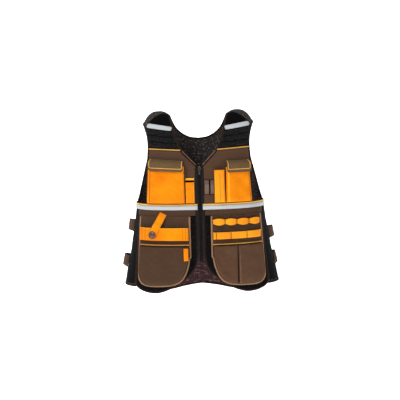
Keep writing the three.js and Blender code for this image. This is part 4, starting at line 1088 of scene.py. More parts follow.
    def pad_spot(self, u: Shares, v: Shares) -> Pair:
        """Angle and run on the shoulder pad at shares across and up."""
        level = np.clip(v / self.rib_share, 0, 1)
        drop = mix(self.rib_bottom, self.rib_top, level)
        inner = FORM.inside(FORM.neck_edge, drop + FORM.piping_slant * (1 - level), 1)
        outer = FORM.inside(FORM.arm_edge, drop, -1)
        from_angle = FORM.angle_at(inner, np.full_like(drop, FORM.arch_drop))
        to_angle = FORM.angle_at(outer, np.full_like(drop, FORM.arch_drop))
        angle = mix(from_angle, to_angle, u)
        x = FORM.point(angle, np.full_like(angle, FORM.arch_drop))[..., 0]
        share = np.clip((np.abs(x) - inner) / np.maximum(outer - inner, 1), 0, 1)
        slope = mix(self.rib_slope, -self.rib_slope, share) * level
        _, run = FORM.place(x, drop + FORM.piping_fall(x) * (1 - level) + slope)
        climb = np.clip((v - self.rib_share) / (1 - self.rib_share), 0, 1)
        seam_angle, seam_run = self.shoulder_seam(u)
        return mix(angle, seam_angle, climb), mix(run, seam_run, climb**0.9)

    def crest(self, side: Side) -> None:
        """Painted highlight and painted shade above the shoulder tape: a lighter grey copy of the mesh where
        the top is lit, and a black triangle of painted shade towards the neck.
        """

        def grey(u: Shares, v: Shares) -> np.ndarray:
            """Spots on the grey painted highlight."""
            angle, run = self.pad_spot(mix(0.01, 0.99, u), mix(self.rib_share + 0.01, 0.995, v))
            return FORM.lifted(angle * side.value, run, 0.35 + 0 * u)

        def black(u: Shares, v: Shares) -> np.ndarray:
            """Spots on the black triangle of painted shade."""
            high = mix(0.97, 0.7, u)
            angle, run = self.pad_spot(mix(0.02, 0.84, u), mix(0.61, high, v))
            return FORM.lifted(angle * side.value, run, 0.8 + 0 * u)

        # The grey sheet is painted highlight and the black sheet painted shade, both laid over the ribbed
        # pad.
        self.maker.cloth(f"{side.word} crest mesh", (36, 20), grey, 0.5, CREST_HIGHLIGHT_GREY, ())
        self.maker.cloth(f"{side.word} crest shade", (32, 20), black, 0.4, PAINTED_SHADE_AND_BACKING, ())

    def pad(self, side: Side) -> None:
        """Three padded ribs and the flat yoke above them."""
        split = self.rib_share

        def place(u: Shares, v: Shares) -> np.ndarray:
            """Spots on the puffed ribs and the yoke."""
            angle, run = self.pad_spot(u, v)
            rib = np.abs(np.sin(np.clip(v / split, 0, 1) * 3 * math.pi)) ** 0.55
            puff = self.rib_height * rib * (v < split) * ease(-0.02, 0.05, u) * ease(1.02, 0.95, u)
            crinkle = 0.25 * np.sin(60 * u + 9 * v) * np.sin(23 * u + 2) * (v < split)
            return FORM.lifted(angle * side.value, run, puff + crinkle * rib)

        self.maker.cloth(
            f"{side.word} ribbed pad", (48, 96), place, self.cloth, PAD_BLACK, [f"{side.word}_shoulder_pad"]
        )

    def grooves(self, side: Side) -> None:
        """Dark cords of painted shade laid in the sewn grooves between the padded ribs."""
        for level in (0.03, 1 / 3, 2 / 3, 0.985):
            drop = mix(self.rib_bottom, self.rib_top, level)
            inner = float(FORM.inside(FORM.neck_edge, np.array(drop), 1)) + 2
            outer = float(FORM.inside(FORM.arm_edge, np.array(drop), -1)) - 2
            x = np.linspace(inner, outer, 40)
            slope = mix(self.rib_slope, -self.rib_slope, (x - inner) / (outer - inner))
            fall = FORM.piping_fall(x) * (1 - level) + slope * level
            spots = self.front_path(side.value, x, drop + fall, 1.6)
            self.line(f"{side.word} groove {level:.2f}", spots, cord_section(3.4, 0.8), PAINTED_SHADE_AND_BACKING)

    def reflector(self, side: Side) -> None:
        """White reflective tape across the shoulder."""
        inner = float(FORM.inside(FORM.neck_edge, np.array(53.0), 1)) + 1
        outer = float(FORM.inside(FORM.arm_edge, np.array(53.0), -1)) - 9
        x = np.linspace(inner, outer, 40)
        drop = mix(60.0, 47.0, (x - inner) / (outer - inner))
        points, normals = self.front_path(side.value, x, drop, 0.6)
        ends = np.clip(np.minimum(np.arange(40), 39 - np.arange(40)) / 2.0, 0.72, 1)
        self.maker.sweep(
            f"{side.word} shoulder tape", points, normals, tape_section(15.5, 0.5, 1.2), SILVER,
            [f"{side.word}_shoulder_reflector"], ends,
        )  # fmt: skip
        for offset in (-6.2, 6.2):
            self.stitch("pale", *self.front_path(side.value, x, drop + offset, 2.35), 2.8, 0.4)

    def piping(self, side: Side) -> None:
        """Light orange cord between the pad and the chest."""
        low, high = np.array(FORM.piping_top + FORM.piping_slant), np.array(FORM.piping_top)
        inner, outer = FORM.inside(FORM.neck_edge, low, 1), FORM.inside(FORM.arm_edge, high, -1)
        x = np.linspace(float(inner), float(outer), 40)
        points, normals = self.front_path(side.value, x, FORM.piping_drop(x), -1.0)
        self.maker.sweep(
            f"{side.word} chest cord", points, normals, cord_section(3.6, 2.9), PIPING,
            [f"{side.word}_chest_piping"],
        )  # fmt: skip
        spots = self.front_path(side.value, x, FORM.piping_drop(x), -2.2)
        self.line(f"{side.word} seam backing", spots, tape_section(7.4, 0.0, 0.8), PAINTED_SHADE_AND_BACKING)

    def back(self) -> None:
        """Back with both side wings, the upper back and the yokes over the crest."""
        level = FORM.underarm_drop
        under = float(FORM.angle_at(FORM.arm_edge(np.array(level), True) - 1, np.array(level), True))

        def lower(u: Shares, v: Shares) -> np.ndarray:
            """Spots below the arms, from one side seam to the other."""
            share = np.abs(2 * u - 1)
            first = FORM.seam_low_angle
            angle = mix(180.0, first, share)
            low = FORM.length * FORM.hem_back(angle) - FORM.inset
            run = mix(low, level, v)
            angle = angle + (FORM.seam_angle(run) - first) * ease(0.75, 1.0, share)
            lift = folds(share * 2.2, v * 2, 1.9, 0.8) * ease(0, 0.1, v) * ease(1, 0.9, v) - 0.2
            sign = np.where(u < 0.5, -1.0, 1.0)
            return FORM.lifted(angle * sign, run, lift)

        self.maker.cloth(
            "back mesh", (128, 60), lower, self.mesh_cloth, BLACK_MESH, ["back_panel"], inner=BACK_MESH
        )
        reach = self.yoke_share

        def back_arm(drop: Shares) -> Shares:
            """Inset edge of the arm opening behind."""
            return FORM.arm_edge(drop, True) - FORM.inset

        def top_place(share: Shares) -> Pair:
            """Angle and run along the top, from the middle of the neck to the arm."""
            neck = FORM.back_neck(mix(1.0, reach, np.minimum(share * 2, 1)), FORM.inset)
            last = FORM.back_neck(np.full_like(share, reach), FORM.inset)
            arm = FORM.edge_place(back_arm, np.full_like(share, self.yoke_arm_run), True)
            away = np.clip(share * 2 - 1, 0, 1)
            angle, run = (np.where(share <= 0.5, neck[k], mix(last[k], arm[k], away)) for k in (0, 1))
            return angle, run

        def upper(u: Shares, v: Shares) -> np.ndarray:
            """Spots between the arms, up to the neck and the yokes."""
            share = np.abs(2 * u - 1)
            high_angle, high_run = top_place(share)
            angle, run = mix(mix(180.0, under, share), high_angle, v), mix(level, high_run, v)
            arm, _ = FORM.edge_place(lambda d: back_arm(np.minimum(d, level)), np.minimum(run, level), True)
            end_angle, _ = top_place(np.ones_like(share))
            angle = angle + (arm - mix(under, end_angle, v)) * share**3
            sign = np.where(u < 0.5, -1.0, 1.0)
            lift = folds(share * 1.5, v * 2, 2.6, 0.7) * ease(0, 0.1, v) * ease(1, 0.9, v) - 0.2
            return FORM.lifted(angle * sign, run, lift)

        self.maker.cloth(
            "upper back mesh", (96, 44), upper, self.mesh_cloth, BLACK_MESH, (), inner=NECK_MESH
        )
        for side in Side:
            self.yoke(side)

    def yoke(self, side: Side) -> None:
        """Mesh that passes over the shoulder from the back to the seam in front."""

        def place(w: Shares, v: Shares) -> np.ndarray:
            """Spots from the back up, over the crest and down to the seam."""
            climb = np.clip(v / 0.8, 0, 1)
            inner = FORM.back_neck(self.yoke_share * (1 - climb), FORM.inset)
            arm = FORM.edge_place(
                lambda d: FORM.arm_edge(d, True) - FORM.inset, self.yoke_arm_run * (1 - climb), True
            )
            angle, run = mix(inner[0], arm[0], w), mix(inner[1], arm[1], w)
            seam_angle, seam_run = self.shoulder_seam(w)
            over = np.clip((v - 0.8) / 0.2, 0, 1)
            angle = mix(angle, 180 - seam_angle, over)
            run = mix(run, 0.6 - seam_run, over)
            return FORM.lifted(angle * side.value, run, -0.2)

        self.maker.cloth(f"{side.word} yoke mesh", (28, 64), place, self.mesh_cloth, YOKE, ())

    def arm_binding(self, side: Side) -> None:
        """Binding round the arm opening."""
        drops = np.linspace(299, 63, 60)
        angle, run = FORM.place(FORM.arm_edge(drops), drops)
        arch = np.linspace(float(run[-1]), 0.01, 16)[1:]
        front = FORM.edge_place(FORM.arm_edge, arch, False)
        back_runs = np.concatenate([np.linspace(0.01, 128, 30), np.linspace(132, 299, 40)])
        back = FORM.edge_place(lambda d: FORM.arm_edge(d, True), back_runs, True)
        angles = np.concatenate([angle, front[0], back[0]])
        runs = np.concatenate([run, front[1], back[1]])
        points, normals = self.path(side.value, angles, runs)
        if side is Side.RIGHT:
            points, normals = points[::-1], normals[::-1]
        section = band_section(FORM.binding, -3.0, 1.0, -1)
        name, node = f"{side.word} arm edge", f"{side.word}_arm_binding"
        self.maker.sweep(name, points, normals, section, DARK_BINDING, [node])

    def neck_binding(self) -> None:
        """Binding round the neck, from the V up and round the back."""
        drops = np.linspace(181, 63, 50)
        angle, run = FORM.place(FORM.neck_edge(drops), drops)
        arch = np.linspace(float(run[-1]), 0.01, 16)[1:]
        front = FORM.edge_place(FORM.neck_edge, arch, False)
        back = FORM.back_neck(np.linspace(0.01, 1, 60))
        angles = np.concatenate([angle, front[0], back[0]])
        runs = np.concatenate([run, front[1], back[1]])
        section = band_section(FORM.binding, -3.0, 1.0, -1)
        self.maker.sweep("neck edge", *self.mirrored(angles, runs), section, DARK_BINDING, ["neck_binding"])
        drops = np.linspace(176, 131, 30)
        for side in Side:
            spots = self.front_path(side.value, FORM.neck_edge(drops) + 1.2, drops, 1.2)
            self.line(f"{side.word} neck line", spots, cord_section(1.6, 0.7), TAN)

    def front_binding(self, side: Side) -> None:
        """Binding down the zip and round the front hem."""
        drops = np.linspace(187.5, 470, 50)
        hem_x, hem_drop = FORM.hem_edge(np.linspace(0, 0.985, 70))
        x = np.concatenate([np.full_like(drops, FORM.zip_half_width), hem_x])
        drop = np.concatenate([drops, hem_drop])
        section = band_section(FORM.binding, -3.0, 0.7, -side.value)
        self.maker.sweep(
            f"{side.word} front edge", *self.front_path(side.value, x, drop), section, DARK_BINDING,
            [f"{side.word}_front_binding"],
        )  # fmt: skip
        beside = np.full_like(drops, FORM.zip_half_width + 10.0)
        self.stitch("brown", *self.front_path(side.value, beside, drops, 0.25))

    def hem_binding(self) -> None:
        """Binding along the back hem."""
        angle = np.linspace(FORM.seam_low_angle + 0.4, 180, 80)
        run = FORM.length * FORM.hem_back(angle)
        for side in Side:
            self.stitch("pale", *self.path(side.value, angle[:60], run[:60] - 9.0, 0.4), 4.2, 1.0)
        spots, section = self.mirrored(angle, run), band_section(FORM.binding, -3.4, 1.0, 1)
        self.maker.sweep("back hem edge", *spots, section, DARK_BINDING, ["back_hem_binding"])

    def side_seam(self, side: Side) -> None:
        """Bound seam between the front and the back below the waist."""
        run = np.linspace(326, 574, 50)
        spots = self.path(side.value, FORM.seam_angle(run), run, 0.0)
        self.line(f"{side.word} side seam", spots, tape_section(9.0, 0.1, 0.7), DARK_BINDING)

    def waist(self, side: Side) -> None:
        """Light edging and reflective tape round the waist."""
        first = FORM.angle_at(FORM.zip_half_width + 0.6, 312.0)
        angle = np.linspace(float(first), 179.99, 160)
        for label, middle, width, finish, node in (
            ("waist cord", 305.25, 4.5, EDGING, "waist_edging"),
            ("waist tape", 315.3, 14.0, SILVER, "waist_reflector"),
        ):
            spots = self.path(side.value, angle, np.full_like(angle, middle))
            section = cord_section(width, 2.0, 0.6) if finish is EDGING else tape_section(width, 1.0, 1.2)
            self.maker.sweep(f"{side.word} {label}", *spots, section, finish, [f"{side.word}_{node}"])
        for middle in (309.8, 320.8):
            points, normals = self.path(side.value, angle, np.full_like(angle, middle), 2.25)
            self.stitch("pale", points, normals, 2.8, 0.4)

    def build(self) -> None:
        """Make the whole body."""
        for side in Side:
            self.chest(side)
            self.skirt(side)
            self.strip(side)
            self.pad(side)
            self.crest(side)
            self.grooves(side)
            self.reflector(side)
            self.piping(side)
            self.arm_binding(side)
            self.front_binding(side)
            self.waist(side)
            self.side_seam(side)
        self.back()
        self.neck_binding()
        self.hem_binding()


@dataclass(frozen=True)
class Outline:
    """Cloth pocket seen from the front: its two side edges, mouth and bottom.

    Attributes:
        low: Distance from the centre and drop of the bottom edge for a share across.
        top: The same for the mouth.
        base: Lift of the cloth behind.
        depth: How far the pocket stands out.
        full: Share of the depth for a share across.
        mouth: Share of the depth at the mouth.
        hem: Height of the folded hem at the mouth.
        creases: Size of the soft folds.
        seed: Which folds.
        side: Share of the cloth that stands as a wall at a side or at the bottom.
        corner: How far from an edge the face is rounded.
    """

    low: Row
    top: Row
    base: float
    depth: float
    full: Edge = np.ones_like
    mouth: float = 1.0
    hem: float = 7.0
    creases: float = 0.6
    seed: float = 0.0
    side: float = 0.06
    corner: float = 16.0

    def at(self, e: Shares, f: Shares) -> Pair:
        """Distance from the centre and drop at shares across and up the face."""
        low, top = self.low(e), self.top(e)
        return mix(low[0], top[0], f), mix(low[1], top[1], f)

    def lift(self, e: Shares, f: Shares, side: Shares, bottom: Shares) -> Shares:
        """Lift of the pocket's cloth over the form.

        Args:
            e: Share across the face.
            f: Share up the face.
            side: Share up the wall at a side.
            bottom: Share up the wall at the bottom.

        Returns:
            The lift in millimetres.
        """
        ends = self.top(np.array([0.0, 1.0]))[0]
        wide = abs(ends[1] - ends[0])
        tall = abs(float(np.mean(self.low(np.array([0.5]))[1] - self.top(np.array([0.5]))[1])))
        near_side = np.clip(np.minimum(e, 1 - e) * wide / min(self.corner, wide * 0.3), 0, 1)
        near_low = np.clip(f * tall / min(self.corner, tall * 0.5), 0, 1)
        rise_side = 0.6 * side + 0.4 * np.sqrt(1 - (1 - near_side) ** 2)
        rise_low = 0.5 * bottom + 0.5 * np.sqrt(1 - (1 - near_low) ** 2)
        soft = folds(e * wide / 70, f * tall / 70, self.seed, self.creases) * near_side * near_low
        soft = soft * ease(1.02, 0.9, f)
        fold = 0.45 * (ease(1 - self.hem / tall, 1 - (self.hem - 0.9) / tall, f)) if self.hem else 0.0
        out = self.depth * self.full(e) * rise_side * rise_low * mix(1, self.mouth, f)
        return self.base + 0.8 + out + soft + fold


@dataclass
class Pockets(PieceKit):
    """Everything sewn onto the vest's front."""

    board: float = 2.8
    pouch_inner: float = 33.0
    pouch_outer: float = 211.0
    pouch_top_outer: float = 198.0
    pouch_top: float = 341.0
    pouch_low: float = 575.0
    cargo_drop: float = 437.0
    cargo_top: float = 441.5
    pocket_inset: float = 7.1
    pens_inner: float = 40.0
    pens_outer: float = 194.0
    bottom_across: Curve = Curve(
        (0.0, 0.02), (0.1, 0.055), (0.2, 0.125), (0.3, 0.22), (0.42, 0.37), (0.58, 0.6),
        (0.74, 0.82), (0.86, 0.94), (0.94, 0.99), (1.0, 1.0),
    )  # fmt: skip
    bottom_down: Curve = Curve(
        (0.0, 0.6), (0.1, 0.73), (0.2, 0.86), (0.3, 0.94), (0.42, 0.985), (0.58, 1.0),
        (0.74, 0.998), (0.86, 0.965), (0.94, 0.905), (1.0, 0.82),
    )  # fmt: skip

    def face(self, sign: float, outline: Outline, e: Shares, f: Shares, up: float = 0.3) -> Spots:
        """Path over a pocket's face."""
        x, drop = outline.at(e, f)
        return self.front_path(sign, x, drop, outline.lift(e, f, np.ones_like(e), np.ones_like(e)) + up)

    def pocket(
        self,
        name: str,
        sign: float,
        outline: Outline,
        finish: Finish,
        nodes: Sequence[str],
        size: tuple[int, int] = (64, 48),
        thick: float = 1.3,
        thread: str = "orange",
    ) -> None:
        """Open pocket as one cloth, with its side and bottom walls and a stitched hem.

        Args:
            name: Name of the piece.
            sign: Sign of the side, 1 to the wearer's left.
            outline: Edges and swell of the pocket.
            finish: Look.
            nodes: CAD nodes that it stands for.
            size: Faces across and up.
            thick: Thickness of the cloth.
            thread: Which thread sews the hem.
        """

        def place(u: Shares, v: Shares) -> np.ndarray:
            """Spots on the face and its side and bottom walls."""
            e = np.clip((u - outline.side) / (1 - 2 * outline.side), 0, 1)
            f = np.clip((v - outline.side) / (1 - outline.side), 0, 1)
            side = ease(0, 1, np.minimum(u, 1 - u) / outline.side)
            bottom = ease(0, 1, v / outline.side)
            x, drop = outline.at(e, f)
            return FORM.over(sign, x, drop, outline.lift(e, f, side, bottom))

        self.maker.cloth(name, size, place, thick, finish, nodes)
        e = np.linspace(0.01, 0.99, 60)
        if outline.hem:
            tall = abs(float(np.mean(outline.low(np.array([0.5]))[1] - outline.top(np.array([0.5]))[1])))
            for share in (1.2 / tall, (outline.hem - 1.6) / tall):
                self.stitch(thread, *self.face(sign, outline, e, np.full_like(e, 1 - share)))

    @staticmethod
    def straight(inner: float, outer: float, drop: float) -> Row:
        """Straight edge between two distances from the centre."""
        return lambda u: (mix(inner, outer, u), mix(drop, drop, u))

    def chest_pocket(
        self, side: Side, inner: float, outer: float, top: float, inner_top: float, name: str
    ) -> None:
        """Orange chest pocket whose mouth lies under its flap.

        Args:
            side: Which side of the vest.
            inner: Distance of the inner edge from the centre.
            outer: Distance of the outer edge.
            top: Drop of the mouth at the outer edge.
            inner_top: Drop of the mouth at the inner edge.
            name: Name of the cloth's piece.
        """
        outline = Outline(
            self.straight(inner - 1, outer + 4, 300.0),
            lambda u: (mix(inner, outer - 3, u), mix(inner_top, top, u) + 10 * ease(0.86, 1.0, u)),
            1.1, 15.0, creases=1.5, seed=3.1 * side.value, hem=0.0,
        )  # fmt: skip
        self.pocket(name, side.value, outline, ORANGE, [f"{side.word}_chest_pocket"], (72, 56))
        f = np.linspace(0.02, 0.98, 50)
        wide = outer - inner
        # A dark line of painted shade and a pale line of painted highlight along the pocket's side folds.
        if side is Side.RIGHT:
            lines = ((1 - 10.0 / wide, ORANGE_PAINTED_SHADE, 1.3), (6.0 / wide, PALE_ORANGE_AND_HIGHLIGHT, 1.0))
        else:
            lines = ((7.0 / wide, PALE_ORANGE_AND_HIGHLIGHT, 3.4), (1 - 5.0 / wide, ORANGE_PAINTED_SHADE, 1.0))
        for k, (e, finish, width) in enumerate(lines):
            spots = self.face(side.value, outline, np.full_like(f, e), f, 0.1)
            self.line(f"{name} fold {k + 1}", spots, cord_section(width, 0.7), finish)

    def flap(self, side: Side, inner: float, outer: float, drop: float, fall: float) -> None:
        """Olive-brown flap with its piping line.

        Args:
            side: Which side of the vest.
            inner: Distance of the inner edge from the centre.
            outer: Distance of the outer edge.
            drop: Drop of the seam at the outer edge.
            fall: How much lower the seam lies at the inner edge.
        """
        height, over, margin = 40.0, 20.4, 7.0

        def edge(u: Shares, v: Shares) -> Pair:
            """Distance from the centre and drop on the flap."""
            top = drop + fall * (1 - u)
            near = np.maximum(0, 1 - np.minimum(u, 1 - u) / 0.07) ** 2
            low = top + height * (1 - near * 0.16) - fall * 0.4 * (1 - u)
            return mix(inner, outer, u), mix(low, top, v)

        def lift(u: Shares, v: Shares) -> Shares:
            """Lift over the pocket, less towards the seam."""
            away = np.clip((v - 0.68) / 0.32, 0, 1) ** 1.5
            return mix(over, 0.9, away) + 1.4 + folds(u * 2, v, 1.3 + side.value, 0.35) * ease(1, 0.8, v)

        def place(u: Shares, v: Shares) -> np.ndarray:
            """Spots on the flap."""
            return FORM.over(side.value, *edge(u, v), lift(u, v))

        name, node = f"{side.word} flap canvas", f"{side.word}_chest_flap"
        self.maker.cloth(name, (72, 32), place, 1.6, FLAP_BROWN, [node], "hung")
        gap_u, gap_v = 3.6 / (outer - inner), (3.4 + margin) / height
        across = np.linspace(gap_u, 1 - gap_u, 60)
        round_u = np.concatenate([np.full(14, gap_u), across, np.full(14, 1 - gap_u)])
        up = np.linspace(0.97, gap_v + 0.14, 14)
        near = np.maximum(0, 1 - np.minimum(round_u[14:74], 1 - round_u[14:74]) / 0.09) ** 2
        round_v = np.concatenate([up, gap_v + 0.1 * near, up[::-1]])
        x, low = edge(round_u, round_v)
        points, normals = self.front_path(side.value, x, low, lift(round_u, round_v))
        self.maker.sweep(
            f"{side.word} flap piping", points, normals, cord_section(2.2, 1.1, -0.1), PIPING,
            [f"{side.word}_flap_binding"],
        )  # fmt: skip
        inside_u = np.clip(round_u, 2.1 * gap_u, 1 - 2.1 * gap_u)
        inside_v = np.maximum(round_v, 2.1 * gap_v)
        x, low = edge(inside_u, inside_v)
        self.stitch("brown", *self.front_path(side.value, x, low, lift(inside_u, inside_v) + 0.25))
        u = np.linspace(0.01, 0.99, 60)
        for v in (0.985, 0.9):
            x, low = edge(u, np.full_like(u, v))
            self.stitch("brown", *self.front_path(side.value, x, low, lift(u, np.full_like(u, v)) + 0.25))

    def sleeves(self) -> None:
        """Pen sleeve with its tab, tall tool sleeve and the two webbing loops."""
        pen = Outline(
            self.straight(18, 45, 300), self.straight(18, 45, 232), 0.0, 9.5,
            lambda e: 0.85 + 0.15 * np.sin(np.pi * e), hem=6.0, creases=0.3, corner=7.0, side=0.1,
        )  # fmt: skip
        self.pocket("pen sleeve cloth", -1, pen, ORANGE, ["pen_sleeve"], (36, 44))

        def tab(u: Shares, v: Shares) -> np.ndarray:
            """Spots on the tab."""
            return FORM.over(-1, mix(18.0, 45.0, u), mix(225.5, 218.5, v), 2.6 + 0.4 * np.sin(np.pi * v))

        def slot(u: Shares, v: Shares) -> np.ndarray:
            """Spots on the painted shade in the sleeve's mouth."""
            return FORM.over(-1, mix(19.5, 43.5, u), mix(240.0, 222.0, v), 1.4 + 0 * u)

        # A dark sheet of painted shade in the mouth of the pen sleeve.
        self.maker.cloth("pen slot", (12, 6), slot, 0.7, PAINTED_SHADE_AND_BACKING, ())
        self.maker.cloth("pen tab cloth", (24, 6), tab, 1.6, PALE_ORANGE_AND_HIGHLIGHT, ["pen_tab"])
        for e in (0.035, 0.965):
            f = np.linspace(0.0, 1.0, 40)
            spots = self.face(-1, pen, np.full_like(f, e), f, 0.0)
            self.line(f"pen sleeve rim {e:.1f}", spots, cord_section(1.8, 0.6), PALE_ORANGE_AND_HIGHLIGHT)
        tall = Outline(
            self.straight(48, 82, 300), self.straight(48, 80, 194), 0.0, 17.0,
            lambda e: 0.8 + 0.2 * np.sin(np.pi * e),
            mouth=1.12, hem=9.0, creases=0.5, seed=1.2, corner=9.0, side=0.09,
        )  # fmt: skip
        self.pocket("tool sleeve cloth", 1, tall, SOFT_ORANGE, ["tool_sleeve"], (44, 72))
        f = np.linspace(0.0, 0.9, 50)
        # Dark lines of painted shade in the middle fold and at the outer edge, and a pale line of painted
        # highlight at the inner edge.
        lines = ((0.5, ORANGE_PAINTED_SHADE, 0.7), (0.93, ORANGE_PAINTED_SHADE, 0.9), (0.07, PALE_ORANGE_AND_HIGHLIGHT, 1.8))
        for e, finish, width in lines:
            spots = self.face(1, tall, np.full_like(f, e), f, 0.0)
            self.line(f"tool sleeve line {e:.2f}", spots, cord_section(width, 0.5), finish)
        self.web_loops()

    def web_loops(self) -> None:
        """Two webbing loops over a dark sheet of painted shade."""

        def gap(u: Shares, v: Shares) -> np.ndarray:
            """Spots on the painted shade behind and round the loops."""
            return FORM.over(1, mix(14.8, 47.4, u), mix(274.0, 225.0, v), 1.2 + 0 * u)

        # Painted shade: a dark sheet a little larger than the loops, for the gap between them and their
        # outline.
        self.maker.cloth("loop shade", (16, 24), gap, 0.6, PAINTED_SHADE_AND_BACKING, ())
        for name, inner, outer in (("inner_web_loop", 16.0, 30.0), ("outer_web_loop", 35.0, 46.2)):

            def loop(u: Shares, v: Shares) -> np.ndarray:
                """Spots on the loop of this turn."""
                rise = ease(0.13, 0.3, v) * ease(0.87, 0.7, v)
                lift = 2.6 + 7.0 * rise + 0.3 * np.sin(np.pi * u)
                return FORM.over(1, mix(inner, outer, u), mix(272.0, 227.0, v), lift)

            self.maker.cloth(f"{name} tape", (12, 48), loop, 1.8, LOOP_WEB, [name])
            for drop in (230.0, 232.5, 267.0, 269.5):
                self.line_stitches("brown", 1, (inner + 1, outer - 1), (drop, drop), 3.0)

    def outer_at(self, drop: Shares) -> Shares:
        """Outer edge of a pouch at a drop."""
        return mix(self.pouch_top_outer, self.pouch_outer, np.clip((drop - self.pouch_top) / 200, 0, 1))

    def bottom(self, share: Shares, inset: float = 0.0) -> Pair:
        """Pouch outline from its inner edge round the bottom to its outer edge."""
        drop = mix(self.pouch_top, self.pouch_low, self.bottom_down(share))
        outer = self.outer_at(drop)
        middle = (self.pouch_inner + outer) / 2
        x = mix(self.pouch_inner, outer, self.bottom_across(share))
        shrink = 1 - 2 * inset / (outer - self.pouch_inner)
        return middle + (x - middle) * shrink, drop - inset * np.clip((drop - 470) / 70, 0, 1)

    def level(self, drop: float, inset: float) -> Row:
        """Straight edge across a pouch."""
        outer = self.outer_at(np.array(drop)) - inset
        return lambda u: (mix(self.pouch_inner + inset, outer, u), drop + 0 * u)

    def pouch(self, side: Side) -> None:
        """Board, binding, piping and the big cargo pocket of one pouch."""
        sign = side.value

        def board(u: Shares, v: Shares) -> np.ndarray:
            """Spots on the board."""
            low, top = self.bottom(u, 3.0), self.level(self.pouch_top, 3.0)(u)
            lift = 2.8 + folds(u * 2, v * 2, 0.4 + sign, 0.15)
            return FORM.over(sign, mix(low[0], top[0], v), mix(low[1], top[1], v), lift)

        canvas = f"{side.word} pouch canvas"
        self.maker.cloth(canvas, (56, 56), board, 2.0, POUCH_BROWN, [f"{side.word}_pouch_board"])
        down, up = np.linspace(343.7, 478, 30), np.linspace(532, 343.7, 36)
        low = self.bottom(np.linspace(0, 1, 70))
        x = np.concatenate([np.full_like(down, self.pouch_inner), low[0], self.outer_at(up)])
        drop = np.concatenate([down, low[1], up])
        points, normals = self.front_path(sign, x, drop)
        section = band_section(5.5, 1.0, 3.9, -sign)
        name, node = f"{side.word} pouch edge", f"{side.word}_pouch_binding"
        self.maker.sweep(name, points, normals, section, TAN, [node])
        inside = self.bottom(np.linspace(0, 1, 70), 4.3)
        self.stitch("pale", *self.front_path(sign, inside[0], inside[1], 4.3))
        u = np.linspace(0, 1, 60)
        x, drop = self.level(self.cargo_drop, 6.6)(u)
        points, normals = self.front_path(sign, x, drop, 3.6)
        self.maker.sweep(
            f"{side.word} cargo cord", points, normals, cord_section(3.8, 2.6), PIPING,
            [f"{side.word}_cargo_piping"],
        )  # fmt: skip
        x, drop = self.level(self.cargo_drop - 4.6, 6.6)(u)
        spots = self.front_path(sign, x, drop, 2.9)
        self.line(f"{side.word} cargo strip", spots, tape_section(5.0, 0.0, 0.8), POUCH_BROWN)
        crease = (lambda e: 1 - 0.45 * bumps(e, 0.5, 0.02)) if side is Side.LEFT else np.ones_like
        cargo = Outline(
            lambda u: self.bottom(u, self.pocket_inset), self.level(self.cargo_top, self.pocket_inset),
            self.board, 14.0, crease, 0.85, 5.0, 1.5, 2.0 * sign, 0.04, 20.0,
        )  # fmt: skip
        finish = RED_BROWN if side is Side.LEFT else POUCH_BROWN
        name, node = f"{side.word} cargo canvas", f"{side.word}_cargo_pocket"
        self.pocket(name, sign, cargo, finish, [node], (96, 64), thread="brown")
        if side is Side.LEFT:
            # A dark line of painted shade in the crease and a lighter line of painted highlight on its lit
            # side.
            f = np.linspace(0.01, 0.99, 60)
            for e, finish, width in ((0.492, PAINTED_SHADE_AND_BACKING, 4.2), (0.524, FOLD_HIGHLIGHT_BROWN, 3.0)):
                spots = self.face(sign, cargo, np.full_like(f, e), f, 0.5)
                self.line(f"cargo fold {e:.2f}", spots, cord_section(width, 0.5), finish, mix(1.35, 0.4, f))

    def right_pouch_top(self) -> None:
        """Band pocket, hammer strap with its snap, and the label tab."""
        gussets = (0.055, 0.115, 0.885, 0.945)
        band = Outline(
            self.level(422.0, self.pocket_inset), self.level(380.0, self.pocket_inset),
            self.board, 11.0,
            lambda e: 1 - sum(0.16 * bumps(e, at, 0.008) for at in gussets),
            hem=5.0, creases=0.4, corner=8.0, side=0.05,
        )  # fmt: skip
        self.pocket("band pocket cloth", -1, band, ORANGE, ["band_pocket"], (160, 28))
        f = np.linspace(0.0, 1.0, 24)
        # Dark lines of painted shade in the folds of the gussets.
        for e in gussets:
            spots = self.face(-1, band, np.full_like(f, e), f, -0.1)
            self.line(f"band fold {e:.2f}", spots, cord_section(1.3, 0.5), ORANGE_PAINTED_SHADE)
        for drop in (374.5, 377.5):
            self.line_stitches("pale", -1, (45, 195), (drop, drop), 3.1)
        e = np.linspace(0.01, 0.99, 60)
        spots = self.face(-1, band, e, np.full_like(e, 0.985), 0.0)
        self.line("band rim", spots, cord_section(1.8, 0.7), PALE_ORANGE_AND_HIGHLIGHT)
        self.hammer_strap()
        self.label_tab()

    def hammer_strap(self) -> None:
        """Slanting strap with its stitches and its press stud."""
        start, stop = np.array([120.0, 333.0]), np.array([153.0, 403.0])
        span = float(np.linalg.norm(stop - start))
        ahead = (stop - start) / span
        beside = np.array([-ahead[1], ahead[0]])
        reach = (span + 15.0) / span
        rise = Curve((0.0, 0.0), (0.13, 5.0), (0.24, 7.4), (0.4, 10.0), (0.56, 15.0), (1.3, 15.0))

        def strap(u: Shares, v: Shares) -> np.ndarray:
            """Spots on the strap, with a rounded tip."""
            along = (1 - v) * reach
            tip = np.sqrt(np.clip(1 - ((along - reach + 0.17) / 0.17).clip(0, 1) ** 2, 0, 1)) * 0.4 + 0.6
            spot = start + ahead * (along * span)[..., None] + beside * ((u - 0.5) * 23.0 * tip)[..., None]
            edge = 0.35 * (ease(0.12, 0.05, u) + ease(0.88, 0.95, u))
            lift = rise(along) + 2.6 + edge + 0.3 * np.sin(13 * along)
            return FORM.over(-1, spot[..., 0], spot[..., 1], lift)

